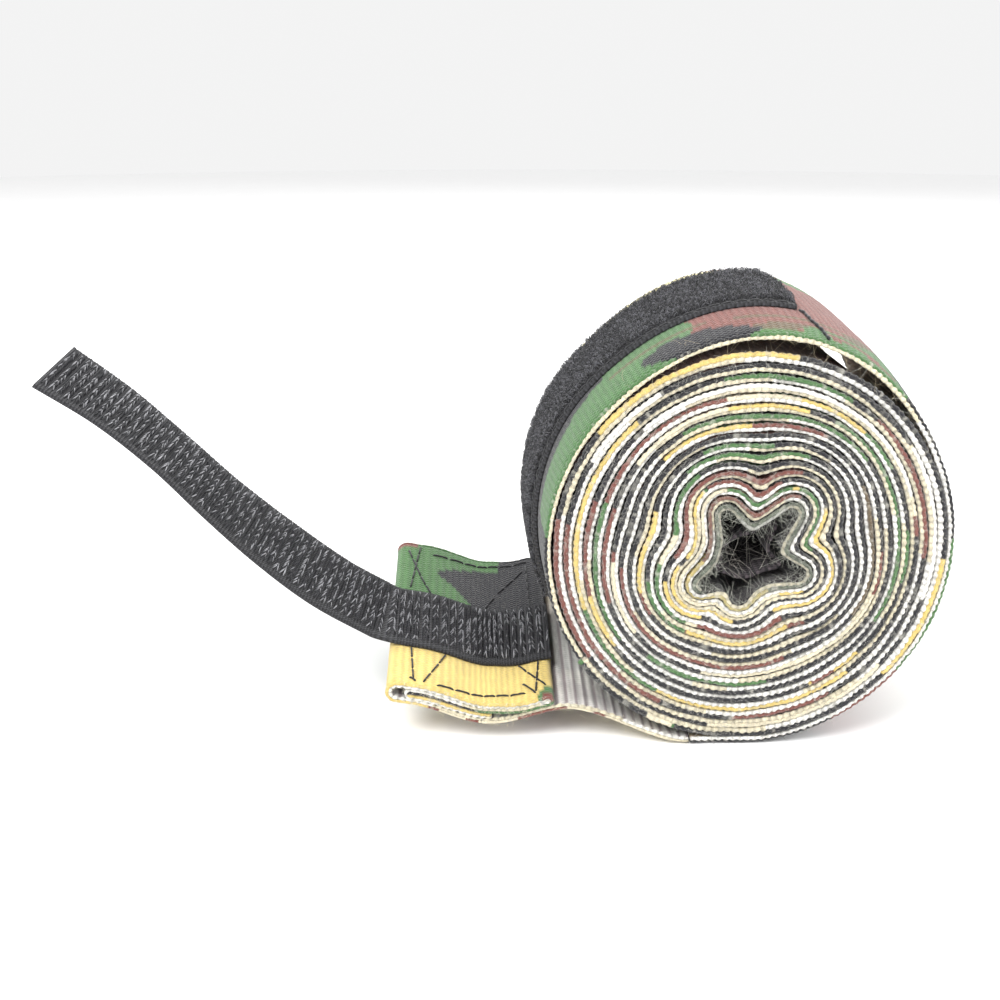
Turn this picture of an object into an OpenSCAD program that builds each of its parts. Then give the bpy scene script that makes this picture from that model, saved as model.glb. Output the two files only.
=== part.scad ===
// Rolled hand wrap: a long cotton strip wound on itself, with a folded sewn end,
// a hook strap that stands up from it, a loop patch on the last turn and a thumb loop in the core.
// X is across the roll, Y runs along its axis (the width of the strip), Z is up.
// The origin lies under the roll's axis, in the middle of the face the roll rests on.

/* [Strip] */
// Width of the cotton strip
strip_w = 50; // [40:1:60]
// Thickness of the strip where it is loose
strip_t = 1.1; // [0.8:0.05:1.15]
// Thickness of the strip where it is wound tight
wound_t = 1.0; // [0.7:0.05:1.05]

/* [Roll] */
// Whole turns wound tight
turns = 17; // [13:1:18]
// Radius of the bend at the tip of a fold in the first turn
core_r = 1.2; // [1.1:0.05:1.6]
// Growth of that radius in each turn while the folds last
pitch_in = 2.32; // [2.25:0.01:2.45]
// Growth of the radius in each turn after that
pitch_out = 1.4; // [1.25:0.05:1.5]
// How far the folds of the core reach out, as a share of their usual reach
fold_reach = 1; // [0:0.1:1]
// Turns after which those folds have died out
fold_turns = 11; // [11:0.5:13]
// How far the core sits below the roll's axis
core_drop = 2.2; // [0:0.1:2.4]
// How much taller than wide the roll is, as a change of radius
oval = 0.4; // [0:0.1:0.6]

/* [Last turn] */
// How far its near edge stands off the roll near the top
lift_near = 2.0; // [0:0.1:3]
// How far its far edge stands off there
lift_far = 5.0; // [0:0.1:6]
// How far the last turn arches up between its edges, under the loop tape
crown = 1.7; // [0:0.1:2]
// Length of the flat that it rests on, on the side of the sewn end
flat_left = 9; // [6:0.5:10]
// Length of that flat on the other side
flat_right = 4; // [3:0.5:6]

/* [Sewn end] */
// How far the far edge of the sewn end is tipped up, in degrees
end_tilt = 11.5; // [6:0.5:12]
// Rise of the strip where it leaves the roll
tail_rise = 6.2; // [5.5:0.1:7]
// Sag of the sewn end below that rise
tail_sag = 2.9; // [1:0.1:3.5]

/* [Hook strap] */
// Width of the hook tape
strap_w = 19; // [16:1:22]
// Thickness of the hook tape with its hooks
strap_t = 1.6; // [1:0.1:1.8]
// Distance from the strip's near edge to the tape
strap_in = 11.6; // [8:0.2:13]

/* [Loop patch] */
// Width of the loop tape
patch_w = 26; // [20:1:30]
// Distance from the strip's near edge to the tape
patch_in = 12; // [8:0.5:14]
// Thickness of the tape with its pile
patch_t = 2.0; // [1.2:0.1:2.2]
// Direction from the roll's axis in which the tape ends, near the top
patch_end = 78; // [74:1:110]

/* [Thumb loop] */
// Width of the thumb loop's tape
thumb_w = 24; // [16:1:30]
// Thickness of the thumb loop's tape
thumb_t = 0.7; // [0.5:0.05:0.8]

/* [Hidden] */

// Directions of the folds in the core and how far out the bend at the tip of each is centred
FOLD_AT = [50, 115, 209, 262, 345];
FOLD_C = [11.6, 9.8, 9, 6.8, 9.8];
// The same for the thumb loop, which reaches into the three widest of them
THUMB_C = [7.6, 0, 4.6, 0, 6.2];
core_fill = 3;
// Distance from the near edge of the roll in to the thumb loop
thumb_in = 3;
// Distances across the strip at the loop tape's edges and its middle
patch_vs = [patch_in, patch_in + patch_w / 2, patch_in + patch_w];
// Direction in which the tight turns end and the last turn starts
start_a = 215;
wound_end_r = core_r + fold_turns * pitch_in + (turns - fold_turns) * pitch_out + ln(len(FOLD_AT)) / 1.5;
// Height of the roll's axis above what it rests on
axis_z = wound_end_r + oval + wound_t / 2 + 0.15 + strip_t;
near_y = -strip_w / 2;

// Layers of the sewn end, each a strip thickness and a small gap above the last
lay = strip_t + 0.07;
stack_t = 3 * lay + strip_t;
fold_x = -64;
hem_x = -35;
inner_fold_x = -61.6;
cut_x = -46;
hinge_x = -31.5;
base_x = -33.6;
tail_x0 = -flat_left - 0.3;

// Middle line of the standing part of the strap, with its hinges at these points
ROUTE = [[-66.6, 18.3], [-77.2, 24.7], [-87.6, 33], [-97.3, 42], [-106.5, 51.5],
         [-116.3, 60.5], [-127, 68.3]];
route_y = near_y + 1 + (strap_in + strap_w / 2) * cos(end_tilt);
// Half the gap that each bend needs
root_gap = 0.95;
bend_gap = 0.2;

dark = [0.10, 0.10, 0.11];
camo = [0.33, 0.42, 0.27];
cream = [0.86, 0.83, 0.72];
tan_c = [0.83, 0.74, 0.46];
thread = [0.05, 0.05, 0.06];

function unit(v) = v / norm(v);
function clamp(t) = max(0, min(1, t));
function ease(t) = let (k = clamp(t)) k * k * (3 - 2 * k);
function turn_gap(a, b) = abs((a - b + 540) % 360 - 180);

function sum(v) = v * [for (e = v) 1];

// Half a thickness to the left of each point of a path
function sides(path, t) = let (m = len(path) - 1)
    [for (i = [0 : m]) let (d = unit(path[min(i + 1, m)] - path[max(i - 1, 0)])) [-d[1], d[0]] * t / 2];

// Distance to the rim of a tapered arm of length c, at angle p off it, and to a star of such arms
function arm_r(p, c, tip, root) = let (b = asin(min(1, (root - tip) / max(c, 0.01))))
    p >= 90 - b ? root : (c + tip * sin(b)) * tan(p) >= tip * cos(b) ? root / sin(p + b)
    : c * cos(p) + sqrt(tip * tip - pow(c * sin(p), 2));
function star_r(a, cs, tip, root, k) = ln(sum([for (i = [0 : len(FOLD_AT) - 1])
    exp(k * arm_r(turn_gap(a, FOLD_AT[i]), cs[i], tip, root))])) / k;

// Tight turns after u turns: the arms of the star draw back and fill out until the turn is round
function fade(u) = clamp(1 - u / fold_turns);
function disc_r(u) = core_r + pitch_in * min(u, fold_turns) + pitch_out * max(0, u - fold_turns);
function turn_r(u, a) = let (d = disc_r(u), f = fade(u))
    star_r(a, FOLD_C * fold_reach * f, d, d + core_fill * f, 1.5) - oval * cos(2 * a) * clamp(u / turns);
function in_core(a, r, u = 0) = [r * cos(a), axis_z - core_drop * (1 - clamp(u / turns)) + r * sin(a)];
function at(a, r) = [r * cos(a), axis_z + r * sin(a)];

// Last turn: its middle radius at direction a, on the near edge (f = 0) or the far edge (f = 1)
function last_u(a) = turns + (start_a - a) / 360;
function plain_r(a) = wound_end_r + (last_u(a) - turns) * pitch_out - oval * cos(2 * a) + 0.05;
function lifted(a, f) = let (d = abs(a - 78))
    crown * (1 - pow(2 * f - 1, 4)) * ease((205 - a) / 75) * ease((a - 10) / 55)
    + (lift_near + (lift_far - lift_near) * f) * pow(cos(90 * clamp(d / 58)), 2)
    + 0.8 * f * ease((start_a - a) / 30) * ease((a - 20) / 60);
left_a = atan(flat_left / axis_z);
right_a = atan(flat_right / axis_z);
function flat_r(a) = axis_z / cos(a + 90) - strip_t / 2;
function last_r(a, f) = let (d = a + 90 - right_a, step = flat_r(right_a - 90) - plain_r(right_a - 90))
    d <= 0.01 ? flat_r(a) : plain_r(a) + lifted(a, f) + step * ease(1 - d / 30);
function on_last(a, v, n) = let (r = last_r(a, v / strip_w) + n, p = at(a, r))
    [p[0], near_y + v, p[1]];

// Sewn end: a point x along it, v in from the near edge and n up from its underside
function gone(x) = -flat_left - x;
function tail_h(x) = let (d = gone(x), s = clamp((d - 22) / 30))
    tail_rise * ease(d / 23) - tail_sag * pow(sin(180 * s), 2) + 0.006 * pow(max(0, d - 38), 2);
function tail_tip(x) = end_tilt * ease((gone(x) - 9) / 20);
function across(x) = [0, cos(tail_tip(x)), sin(tail_tip(x))];
function upward(x) = let (k = (tail_h(x + 0.05) - tail_h(x - 0.05)) / 0.1, w = across(x))
    unit(cross([1, 0, k], w));
function on_tail(x, v, n) =
    [x, near_y + 2 * ease(gone(x) / 24), tail_h(x)] + v * across(x) + n * upward(x);

// Standing strap: position and directions at k, counted in hinge spacings from its root
function knot(i) = i < 0 ? 2 * ROUTE[0] - ROUTE[1]
    : i > len(ROUTE) - 1 ? 2 * ROUTE[len(ROUTE) - 1] - ROUTE[len(ROUTE) - 2] : ROUTE[i];
function route(k) = let (i = min(floor(k), len(ROUTE) - 2), t = k - i,
        a = knot(i - 1), b = knot(i), c = knot(i + 1), d = knot(i + 2))
    ((2 * b) + t * (c - a) + t * t * (2 * a - 5 * b + 4 * c - d)
        + t * t * t * (3 * b - a - 3 * c + d)) / 2;
function route_dir(k) = unit(route(min(k + 0.02, 6)) - route(max(k - 0.02, 0)));
function strap_tip(k) = end_tilt - 6 * pow(sin(180 * clamp((k - 1) / 6)), 2);
function strap_across(k) = let (d = route_dir(k), t = strap_tip(k))
    unit([-d[1] / d[0] * sin(t), cos(t), sin(t)]);
function on_strap(k, v, n) = let (p = route(k), d = route_dir(k), w = strap_across(k),
        up = unit(cross(w, [d[0], 0, d[1]])))
    [p[0], route_y, p[1]] + v * w + n * up;

// Closed slab through four rows of points: low and high along one edge, low and high along the other
module slab(a, b, c, d) {
    m = len(a);
    q = concat([for (i = [0 : m - 2]) each [
            [i, i + 1, m + i + 1, m + i], [m + i, m + i + 1, 3 * m + i + 1, 3 * m + i],
            [3 * m + i, 3 * m + i + 1, 2 * m + i + 1, 2 * m + i], [2 * m + i, 2 * m + i + 1, i + 1, i]]],
        [[0, m, 3 * m, 2 * m], [m - 1, 3 * m - 1, 4 * m - 1, 2 * m - 1]]);
    flip = cross(a[1] - a[0], c[0] - a[0]) * (b[0] - a[0]) > 0;
    polyhedron(concat(a, b, c, d), [for (f = q) each flip
        ? [[f[2], f[1], f[0]], [f[3], f[2], f[0]]] : [[f[0], f[1], f[2]], [f[0], f[2], f[3]]]]);
}

// Closed solid between two grids of points, low and high, with the same rows and columns
module blanket(low, high) {
    m = len(low) - 1;
    k = len(low[0]);
    s = (m + 1) * k;
    q = concat(
        [for (i = [0 : m - 1], j = [0 : k - 2]) let (p = i * k + j) [p, p + 1, p + k + 1, p + k]],
        [for (i = [0 : m - 1], j = [0 : k - 2]) let (p = s + i * k + j) [p, p + k, p + k + 1, p + 1]],
        [for (i = [0 : m - 1]) let (p = i * k) [p, p + k, s + p + k, s + p]],
        [for (i = [0 : m - 1]) let (p = i * k + k - 1) [p, s + p, s + p + k, p + k]],
        [for (j = [0 : k - 2]) [j, s + j, s + j + 1, j + 1]],
        [for (j = [0 : k - 2]) let (p = m * k + j) [p, p + 1, s + p + 1, s + p]]);
    flip = cross(low[1][0] - low[0][0], low[0][1] - low[0][0]) * (high[0][0] - low[0][0]) < 0;
    polyhedron(concat([for (r = low) each r], [for (r = high) each r]), [for (f = q) each flip
        ? [[f[0], f[1], f[2]], [f[0], f[2], f[3]]] : [[f[2], f[1], f[0]], [f[3], f[2], f[0]]]]);
}

// Band of the last turn between two directions and two heights, through the given distances across
module last_band(a0, a1, vs, n0, n1, step = 6) {
    m = ceil(abs(a1 - a0) / step);
    as = [for (i = [0 : m]) a0 + (a1 - a0) * i / m];
    blanket([for (a = as) [for (v = vs) on_last(a, v, n0)]], [for (a = as) [for (v = vs) on_last(a, v, n1)]]);
}

// Cloth of the sewn end that follows a path of [x, height] across its full width
module tail_cloth(path) {
    side = sides(path, strip_t);
    lo = path - side;
    hi = path + side;
    slab([for (p = lo) on_tail(p[0], 0, p[1])], [for (p = hi) on_tail(p[0], 0, p[1])],
         [for (p = lo) on_tail(p[0], strip_w, p[1])], [for (p = hi) on_tail(p[0], strip_w, p[1])]);
}
function run(x0, x1, n) = let (m = ceil(abs(x1 - x0) / 2.2))
    [for (i = [0 : m]) [x0 + (x1 - x0) * i / m, n]];
// How far the upper layers sink at x, beyond the strip's cut end, and a run of them that does so
function settle(x) = lay * ease((x - cut_x) / 8);
function top_run(x0, x1, n) = let (m = ceil(abs(x1 - x0) / 1.1))
    [for (i = [0 : m]) let (x = x0 + (x1 - x0) * i / m) [x, n - settle(x)]];
function bend(x, n, r, side, a0, a1, m) =
    [for (i = [1 : m - 1]) let (a = a0 + (a1 - a0) * i / m) [x + side * r * cos(a), n + r * sin(a)]];

// Thread laid on the sewn end from [x, v] to [x, v]
module tail_thread(p, q, n, w = 0.6, h = 0.45) {
    m = max(2, ceil(norm(q - p) / 1.5));
    s = [-(q - p)[1], (q - p)[0]] / norm(q - p) * w / 2;
    left = [for (i = [0 : m]) p + (q - p) * i / m + s];
    right = [for (r = left) r - 2 * s];
    function at(r, n) = on_tail(r[0], r[1], n - settle(r[0]));
    slab([for (r = left) at(r, n)], [for (r = left) at(r, n + h)],
         [for (r = right) at(r, n)], [for (r = right) at(r, n + h)]);
}

// One stiff length of the standing strap
module strap_piece(k0, k1) {
    ks = [for (i = [0 : 4]) k0 + (k1 - k0) * i / 4];
    h = strap_w / 2;
    slab([for (k = ks) on_strap(k, -h, -strap_t / 2)], [for (k = ks) on_strap(k, -h, strap_t / 2)],
         [for (k = ks) on_strap(k, h, -strap_t / 2)], [for (k = ks) on_strap(k, h, strap_t / 2)]);
}

// Flat ribbon of even thickness along a path
module ribbon(path, t) {
    m = len(path) - 1;
    side = sides(path, t);
    polygon(concat(path + side, [for (i = [m : -1 : 0]) path[i] - side[i]]));
}

module along_y(y, w) {
    translate([0, y + w, 0]) rotate([90, 0, 0]) linear_extrude(w) children();
}

// Tight turns: one spiral, with the folds of the squeezed core dying out towards a round rim
module wound_turns() {
    us = concat([for (i = [0 : 6 * 90]) i / 90], [for (i = [1 : 5 * 60]) 6 + i / 60],
                [for (i = [1 : (turns - 11) * 36]) 11 + i / 36]);
    function dir(u) = start_a - 360 * (u - turns);
    mid = [for (u = us) in_core(dir(u), turn_r(u, dir(u)), u)];
    color(cream) along_y(near_y, strip_w) ribbon(mid, wound_t);
}

// Last turn, from the end of the tight turns over the top to the flat underneath
module outer_turn() {
    vs = concat([0, patch_in / 2], patch_vs, [(patch_vs[2] + strip_w) / 2, strip_w]);
    color(camo) last_band(start_a, -90 - left_a, vs, -strip_t / 2, strip_t / 2);
}

// Strip that leaves the roll, printed side down, and twists towards the sewn end
module tail_run() {
    color(cream) tail_cloth(run(tail_x0, hinge_x + 0.25, strip_t / 2));
}

// Tape sewn into a ring that lies open along the wall of the core, where the thumb goes through
function thumb_r(a) = star_r(a, THUMB_C * fold_reach, 0.7, 3.6, 3);
module thumb_loop() {
    mid = [for (a = [0 : 4 : 356]) in_core(a, thumb_r(a))];
    m = len(mid);
    side = [for (i = [0 : m - 1]) let (d = unit(mid[(i + 1) % m] - mid[(i + m - 1) % m]))
        [-d[1], d[0]] * thumb_t / 2];
    color(dark) along_y(near_y + thumb_in, thumb_w) difference() {
        polygon(mid - side);
        polygon(mid + side);
    }
}

// Bar of thread that ties the thumb loop to the strip's inner end
module thumb_thread() {
    a = 180;
    u = (start_a - a) / 360;
    r0 = thumb_r(a) + thumb_t / 2 + 0.15;
    r1 = turn_r(u, a) - wound_t / 2 - 0.25;
    color(dark) along_y(near_y + thumb_in + 2, thumb_w - 4)
        polygon([in_core(a - 5, r0), in_core(a - 5, r1), in_core(a + 5, r1), in_core(a + 5, r0)]);
}

// Loop tape on the last turn: a flat woven edge on each side and pile between them
module loop_patch() {
    n = strip_t / 2 + 0.12;
    color(dark) union() {
        last_band(start_a - 12, patch_end, patch_vs, n, n + 0.8, 4);
        last_band(start_a - 13, patch_end + 1, patch_vs + [2, 0, -2], n + 0.4, n + patch_t, 4);
    }
}

// Thread along both woven edges of the loop tape
module patch_edge_thread() {
    n = strip_t / 2 + 1;
    color(thread) for (v = [patch_in + 0.8, patch_in + patch_w - 1.3])
        last_band(start_a - 14, patch_end + 2, [v, v + 0.5], n, n + 0.35, 4);
}

// Thread across the strip at the end of the loop tape, out to the near edge
module patch_end_thread() {
    n = strip_t / 2 + 0.1;
    vs = [for (i = [0 : 5]) 1 + (patch_in - 1.3) * i / 5];
    function aim(v) = patch_end - 5.5 + 5 * v / patch_in;
    color(thread)
        slab([for (v = vs) on_last(aim(v), v, n)], [for (v = vs) on_last(aim(v), v, n + 0.45)],
             [for (v = vs) on_last(aim(v) - 0.9, v, n)], [for (v = vs) on_last(aim(v) - 0.9, v, n + 0.45)]);
}

// Bottom layer of the sewn end, printed side down
module flap_lower() {
    color(tan_c) tail_cloth(run(hinge_x - 0.25, fold_x, strip_t / 2));
}

// The strip turned back on itself at the left and laid over the top, printed side up
module flap_upper() {
    r = 1.5 * lay;
    color(camo) tail_cloth(concat([[fold_x - 0.02, strip_t / 2]],
        bend(fold_x, strip_t / 2 + r, r, -1, -90, 90, 10), top_run(fold_x, hem_x, strip_t / 2 + 3 * lay)));
}

// Cut end of the strip, tucked under the top layer and then under itself
module end_hem() {
    r = lay / 2;
    color(tan_c) tail_cloth(concat([[hem_x + 0.02, strip_t / 2 + 2 * lay]],
        bend(hem_x, strip_t / 2 + 1.5 * lay, r, 1, 90, -90, 8),
        top_run(hem_x, inner_fold_x, strip_t / 2 + 2 * lay),
        bend(inner_fold_x, strip_t / 2 + 1.5 * lay, r, -1, 90, -90, 8),
        run(inner_fold_x, cut_x, strip_t / 2 + lay)));
}

// Seam on the near side of the strap: a line along the edge, two across it and two slanting ones
module flap_thread_near() {
    n = stack_t + 0.08;
    v1 = strap_in - 0.3;
    color(thread) union() {
        tail_thread([-61.5, 3], [-36.5, 3], n);
        tail_thread([-61, 3], [-61.5, v1], n);
        tail_thread([-37, 3], [-37, v1], n);
        tail_thread([-60.8, 3.2], [-54, v1], n);
        tail_thread([-37.2, 3.2], [-43, v1], n);
    }
}

// Seam on the far side of the strap
module flap_thread_far() {
    n = stack_t + 0.08;
    v0 = strap_in + strap_w + 0.3;
    color(thread) union() {
        tail_thread([-62.5, strip_w - 4], [-36.5, strip_w - 4], n);
        tail_thread([-61.5, v0], [-61.5, strip_w - 3], n);
        tail_thread([-37, v0], [-37, strip_w - 4], n);
        tail_thread([-57, v0], [-62.2, strip_w - 4.2], n);
        tail_thread([-43, v0], [-37.2, strip_w - 4.2], n);
    }
}

// Hook tape where it is sewn down, hooks up
module strap_base() {
    n = stack_t + 0.05;
    far = strap_in + strap_w;
    xs = [for (i = [0 : 28]) base_x + (ROUTE[0][0] + root_gap - base_x) * i / 28];
    function at(x, v, n) = on_tail(x, v, n - settle(x));
    color(dark) slab([for (x = xs) at(x, strap_in, n)], [for (x = xs) at(x, strap_in, n + strap_t)],
                     [for (x = xs) at(x, far, n)], [for (x = xs) at(x, far, n + strap_t)]);
}

// Hook tape that stands clear, in six lengths that bend where they meet
module strap_1() { color(dark) strap_piece(root_gap / 13.3, 1 - bend_gap / 13.3); }
module strap_2() { color(dark) strap_piece(1 + bend_gap / 13.3, 2 - bend_gap / 13.3); }
module strap_3() { color(dark) strap_piece(2 + bend_gap / 13.3, 3 - bend_gap / 13.3); }
module strap_4() { color(dark) strap_piece(3 + bend_gap / 13.3, 4 - bend_gap / 13.3); }
module strap_5() { color(dark) strap_piece(4 + bend_gap / 13.3, 5 - bend_gap / 13.3); }
module strap_6() { color(dark) strap_piece(5 + bend_gap / 13.3, 6); }

wound_turns();
outer_turn();
tail_run();
thumb_loop();
thumb_thread();
loop_patch();
patch_edge_thread();
patch_end_thread();
flap_lower();
flap_upper();
end_hem();
flap_thread_near();
flap_thread_far();
strap_base();
strap_1();
strap_2();
strap_3();
strap_4();
strap_5();
strap_6();
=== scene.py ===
import json
import math
import bpy
import numpy as np
from mathutils import Euler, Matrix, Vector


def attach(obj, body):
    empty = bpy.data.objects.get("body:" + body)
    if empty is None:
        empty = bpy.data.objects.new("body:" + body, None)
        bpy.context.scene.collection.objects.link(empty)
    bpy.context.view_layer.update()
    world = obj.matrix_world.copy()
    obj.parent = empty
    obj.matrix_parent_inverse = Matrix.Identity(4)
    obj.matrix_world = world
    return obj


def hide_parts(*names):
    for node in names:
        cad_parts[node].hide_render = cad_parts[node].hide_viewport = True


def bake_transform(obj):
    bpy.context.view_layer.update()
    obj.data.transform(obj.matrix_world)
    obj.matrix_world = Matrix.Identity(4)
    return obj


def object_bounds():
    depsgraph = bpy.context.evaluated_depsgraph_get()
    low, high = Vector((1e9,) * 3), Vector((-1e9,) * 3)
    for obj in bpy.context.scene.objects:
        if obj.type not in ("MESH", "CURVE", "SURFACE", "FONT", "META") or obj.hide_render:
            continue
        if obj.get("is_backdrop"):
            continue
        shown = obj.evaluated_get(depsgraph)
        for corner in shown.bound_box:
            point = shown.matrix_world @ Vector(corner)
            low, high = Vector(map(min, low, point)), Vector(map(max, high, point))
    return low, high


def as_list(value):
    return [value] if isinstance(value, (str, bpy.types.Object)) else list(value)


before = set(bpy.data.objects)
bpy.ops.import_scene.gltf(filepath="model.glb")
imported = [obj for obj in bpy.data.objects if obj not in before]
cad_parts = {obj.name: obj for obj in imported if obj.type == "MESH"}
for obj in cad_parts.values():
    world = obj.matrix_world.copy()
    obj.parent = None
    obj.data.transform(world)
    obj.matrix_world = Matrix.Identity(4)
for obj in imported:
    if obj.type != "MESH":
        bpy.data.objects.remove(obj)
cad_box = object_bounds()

MM = 0.001
rng = np.random.default_rng(11)

# ---- sizes, in millimetres, as in the CAD source -------------------------------------------------
STRIP_W, STRIP_T, WOUND_T = 50.0, 1.1, 1.0
TURNS, CORE_R, PITCH_IN, PITCH_OUT, FOLD_TURNS = 17, 1.2, 2.32, 1.4, 11
CORE_DROP, OVAL, CORE_FILL, START_A = 2.2, 0.4, 3.0, 215.0
FOLD_AT = [50, 115, 209, 262, 345]
FOLD_C = [11.6, 9.8, 9, 6.8, 9.8]
THUMB_C = [7.6, 0, 4.6, 0, 6.2]
THUMB_W, THUMB_T, THUMB_IN = 24.0, 0.7, 3.0
LIFT_NEAR, LIFT_FAR, CROWN, FLAT_LEFT, FLAT_RIGHT = 2.0, 5.0, 1.7, 9.0, 4.0
END_TILT, TAIL_RISE, TAIL_SAG = 11.5, 6.2, 2.9
STRAP_W, STRAP_T, STRAP_IN = 19.0, 1.6, 11.6
PATCH_W, PATCH_IN, PATCH_END = 26.0, 12.0, 78.0
END_R = CORE_R + FOLD_TURNS * PITCH_IN + (TURNS - FOLD_TURNS) * PITCH_OUT + math.log(len(FOLD_AT)) / 1.5
AXIS_Z = END_R + OVAL + WOUND_T / 2 + 0.15 + STRIP_T
# the folds as they look: full for the first turns, then drawn back over the rest to the same outer radius
HOLD_TURNS, HOLD_PITCH = 4, 1.32
FADE_PITCH = (END_R - math.log(len(FOLD_AT)) / 1.5 - CORE_R - HOLD_TURNS * HOLD_PITCH) / (TURNS - HOLD_TURNS)
NEAR_Y = -STRIP_W / 2
LAY = STRIP_T + 0.07
STACK_T = 3 * LAY + STRIP_T
FOLD_X, HEM_X, INNER_X, CUT_X, BASE_X = -64.0, -35.0, -61.6, -46.0, -33.6
ROUTE = np.array([[-66.6, 18.3], [-77.2, 24.7], [-87.6, 33], [-97.3, 42], [-106.5, 51.5],
                  [-116.3, 60.5], [-127, 68.3]])
ROUTE_Y = NEAR_Y + 1 + (STRAP_IN + STRAP_W / 2) * math.cos(math.radians(END_TILT))
RIB = 1.35            # spacing of the cloth's cross ribs
RIB_LOW = 1.75        # the same on its unprinted side
HOOK_ROW = 1.55       # spacing of the rows of hooks

# ---- colours, as linear red, green and blue -------------------------------------------------------
def srgb(r, g, b):
    c = np.array([r, g, b]) / 255.0
    return np.where(c <= 0.04045, c / 12.92, ((c + 0.055) / 1.055) ** 2.4)

GREEN, BLACK = srgb(80, 118, 72), srgb(42, 42, 46)
BROWN, YELLOW = srgb(126, 78, 70), srgb(222, 196, 118)
CREAM, WHITE = srgb(228, 218, 190), srgb(246, 244, 238)
KHAKI, PALE = srgb(104, 90, 70), srgb(226, 216, 164)
INK = srgb(26, 26, 29)
PRINT = np.array([YELLOW, GREEN, BROWN, BLACK, CREAM])


def deg(f, a):
    return f(np.radians(a))


def clamp(t):
    return np.clip(t, 0.0, 1.0)


def ease(t):
    k = clamp(t)
    return k * k * (3 - 2 * k)


def unit(v):
    return v / np.maximum(np.linalg.norm(v, axis=-1, keepdims=True), 1e-9)


# ---- smooth repeatable noise ----------------------------------------------------------------------
LATTICE = rng.random((256, 256))


def noise(x, y):
    x, y = np.broadcast_arrays(np.asarray(x, float), np.asarray(y, float))
    i, j = np.floor(x).astype(int), np.floor(y).astype(int)
    u, v = x - i, y - j
    u, v = u * u * (3 - 2 * u), v * v * (3 - 2 * v)
    g = lambda a, b: LATTICE[(i + a) % 256, (j + b) % 256]
    return (g(0, 0) * (1 - u) + g(1, 0) * u) * (1 - v) + (g(0, 1) * (1 - u) + g(1, 1) * u) * v


# ---- the path of the wound strip ------------------------------------------------------------------
def arm_r(p, c, tip, root):
    b = np.arcsin(np.minimum(1, (root - tip) / np.maximum(c, 0.01)))
    pr = np.radians(p)
    side = root / np.maximum(np.sin(pr + b), 1e-6)
    end = c * np.cos(pr) + np.sqrt(np.maximum(tip * tip - (c * np.sin(pr)) ** 2, 0))
    on_side = (c + tip * np.sin(b)) * np.tan(np.minimum(pr, 1.57)) >= tip * np.cos(b)
    return np.where(p >= 90 - np.degrees(b), root, np.where(on_side, side, end))


def star_r(a, cs, tip, root, k):
    total = 0
    for at, c in zip(FOLD_AT, cs):
        total = total + np.exp(k * arm_r(np.abs((a - at + 540) % 360 - 180), c, tip, root))
    return np.log(total) / k


def turn_r(u, a):
    f = clamp(1 - (u - HOLD_TURNS) / (TURNS - HOLD_TURNS))
    d = CORE_R + HOLD_PITCH * np.minimum(u, HOLD_TURNS) + FADE_PITCH * np.maximum(0, u - HOLD_TURNS)
    return star_r(a, [c * f for c in FOLD_C], d, d + CORE_FILL * f, 1.5) \
        - OVAL * deg(np.cos, 2 * a) * clamp(u / TURNS)


def in_core(a, r, u):
    drop = CORE_DROP * (1 - clamp(u / TURNS))
    return np.stack([r * deg(np.cos, a), AXIS_Z - drop + r * deg(np.sin, a)], -1)


def along(points):
    return np.concatenate([[0], np.cumsum(np.linalg.norm(np.diff(points, axis=0), axis=1))])


WU = np.linspace(0, TURNS, TURNS * 720 + 1)
WA = START_A - 360 * (WU - TURNS)
WP = in_core(WA, turn_r(WU, WA), WU)
WS = along(WP)
WN = unit(np.gradient(WP, axis=0))
WN = np.stack([-WN[:, 1], WN[:, 0]], -1)        # points outward, to the printed side


def on_wound(s, v, n):
    s, v, n = np.broadcast_arrays(s, v, n)
    x = np.interp(s, WS, WP[:, 0]) + n * np.interp(s, WS, WN[:, 0])
    z = np.interp(s, WS, WP[:, 1]) + n * np.interp(s, WS, WN[:, 1])
    return np.stack([x, NEAR_Y + v, z], -1)


# ---- the last turn ---------------------------------------------------------------------------------
LEFT_A, RIGHT_A = math.degrees(math.atan(FLAT_LEFT / AXIS_Z)), math.degrees(math.atan(FLAT_RIGHT / AXIS_Z))


def plain_r(a):
    return END_R + (START_A - a) / 360 * PITCH_OUT - OVAL * deg(np.cos, 2 * a) + 0.05


def flat_r(a):
    return AXIS_Z / deg(np.cos, a + 90) - STRIP_T / 2


def last_r(a, f):
    d = np.abs(a - 78)
    lifted = (LIFT_NEAR + (LIFT_FAR - LIFT_NEAR) * f) * deg(np.cos, 90 * clamp(d / 58)) ** 2 \
        + 0.8 * f * ease((START_A - a) / 30) * ease((a - 20) / 60) \
        + CROWN * (1 - (2 * f - 1) ** 4) * ease((205 - a) / 75) * ease((a - 10) / 55)
    off = a + 90 - RIGHT_A
    step = flat_r(RIGHT_A - 90) - plain_r(RIGHT_A - 90)
    return np.where(off <= 0.01, flat_r(np.minimum(a, RIGHT_A - 90)),
                    plain_r(a) + lifted + step * ease(1 - off / 30))


LA = np.linspace(START_A, -90 - LEFT_A, 1200)
LMID = last_r(LA, 0.5)
LS = along(np.stack([LMID * deg(np.cos, LA), LMID * deg(np.sin, LA)], -1))


def on_last_a(a, v, n):
    a, v, n = np.broadcast_arrays(a, v, n)
    r = last_r(a, v / STRIP_W) + n
    return np.stack([r * deg(np.cos, a), NEAR_Y + v, AXIS_Z + r * deg(np.sin, a)], -1)


def on_last(s, v, n):
    return on_last_a(np.interp(s, LS, LA), v, n)


# ---- the sewn end ----------------------------------------------------------------------------------
def gone(x):
    return -FLAT_LEFT - x


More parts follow.
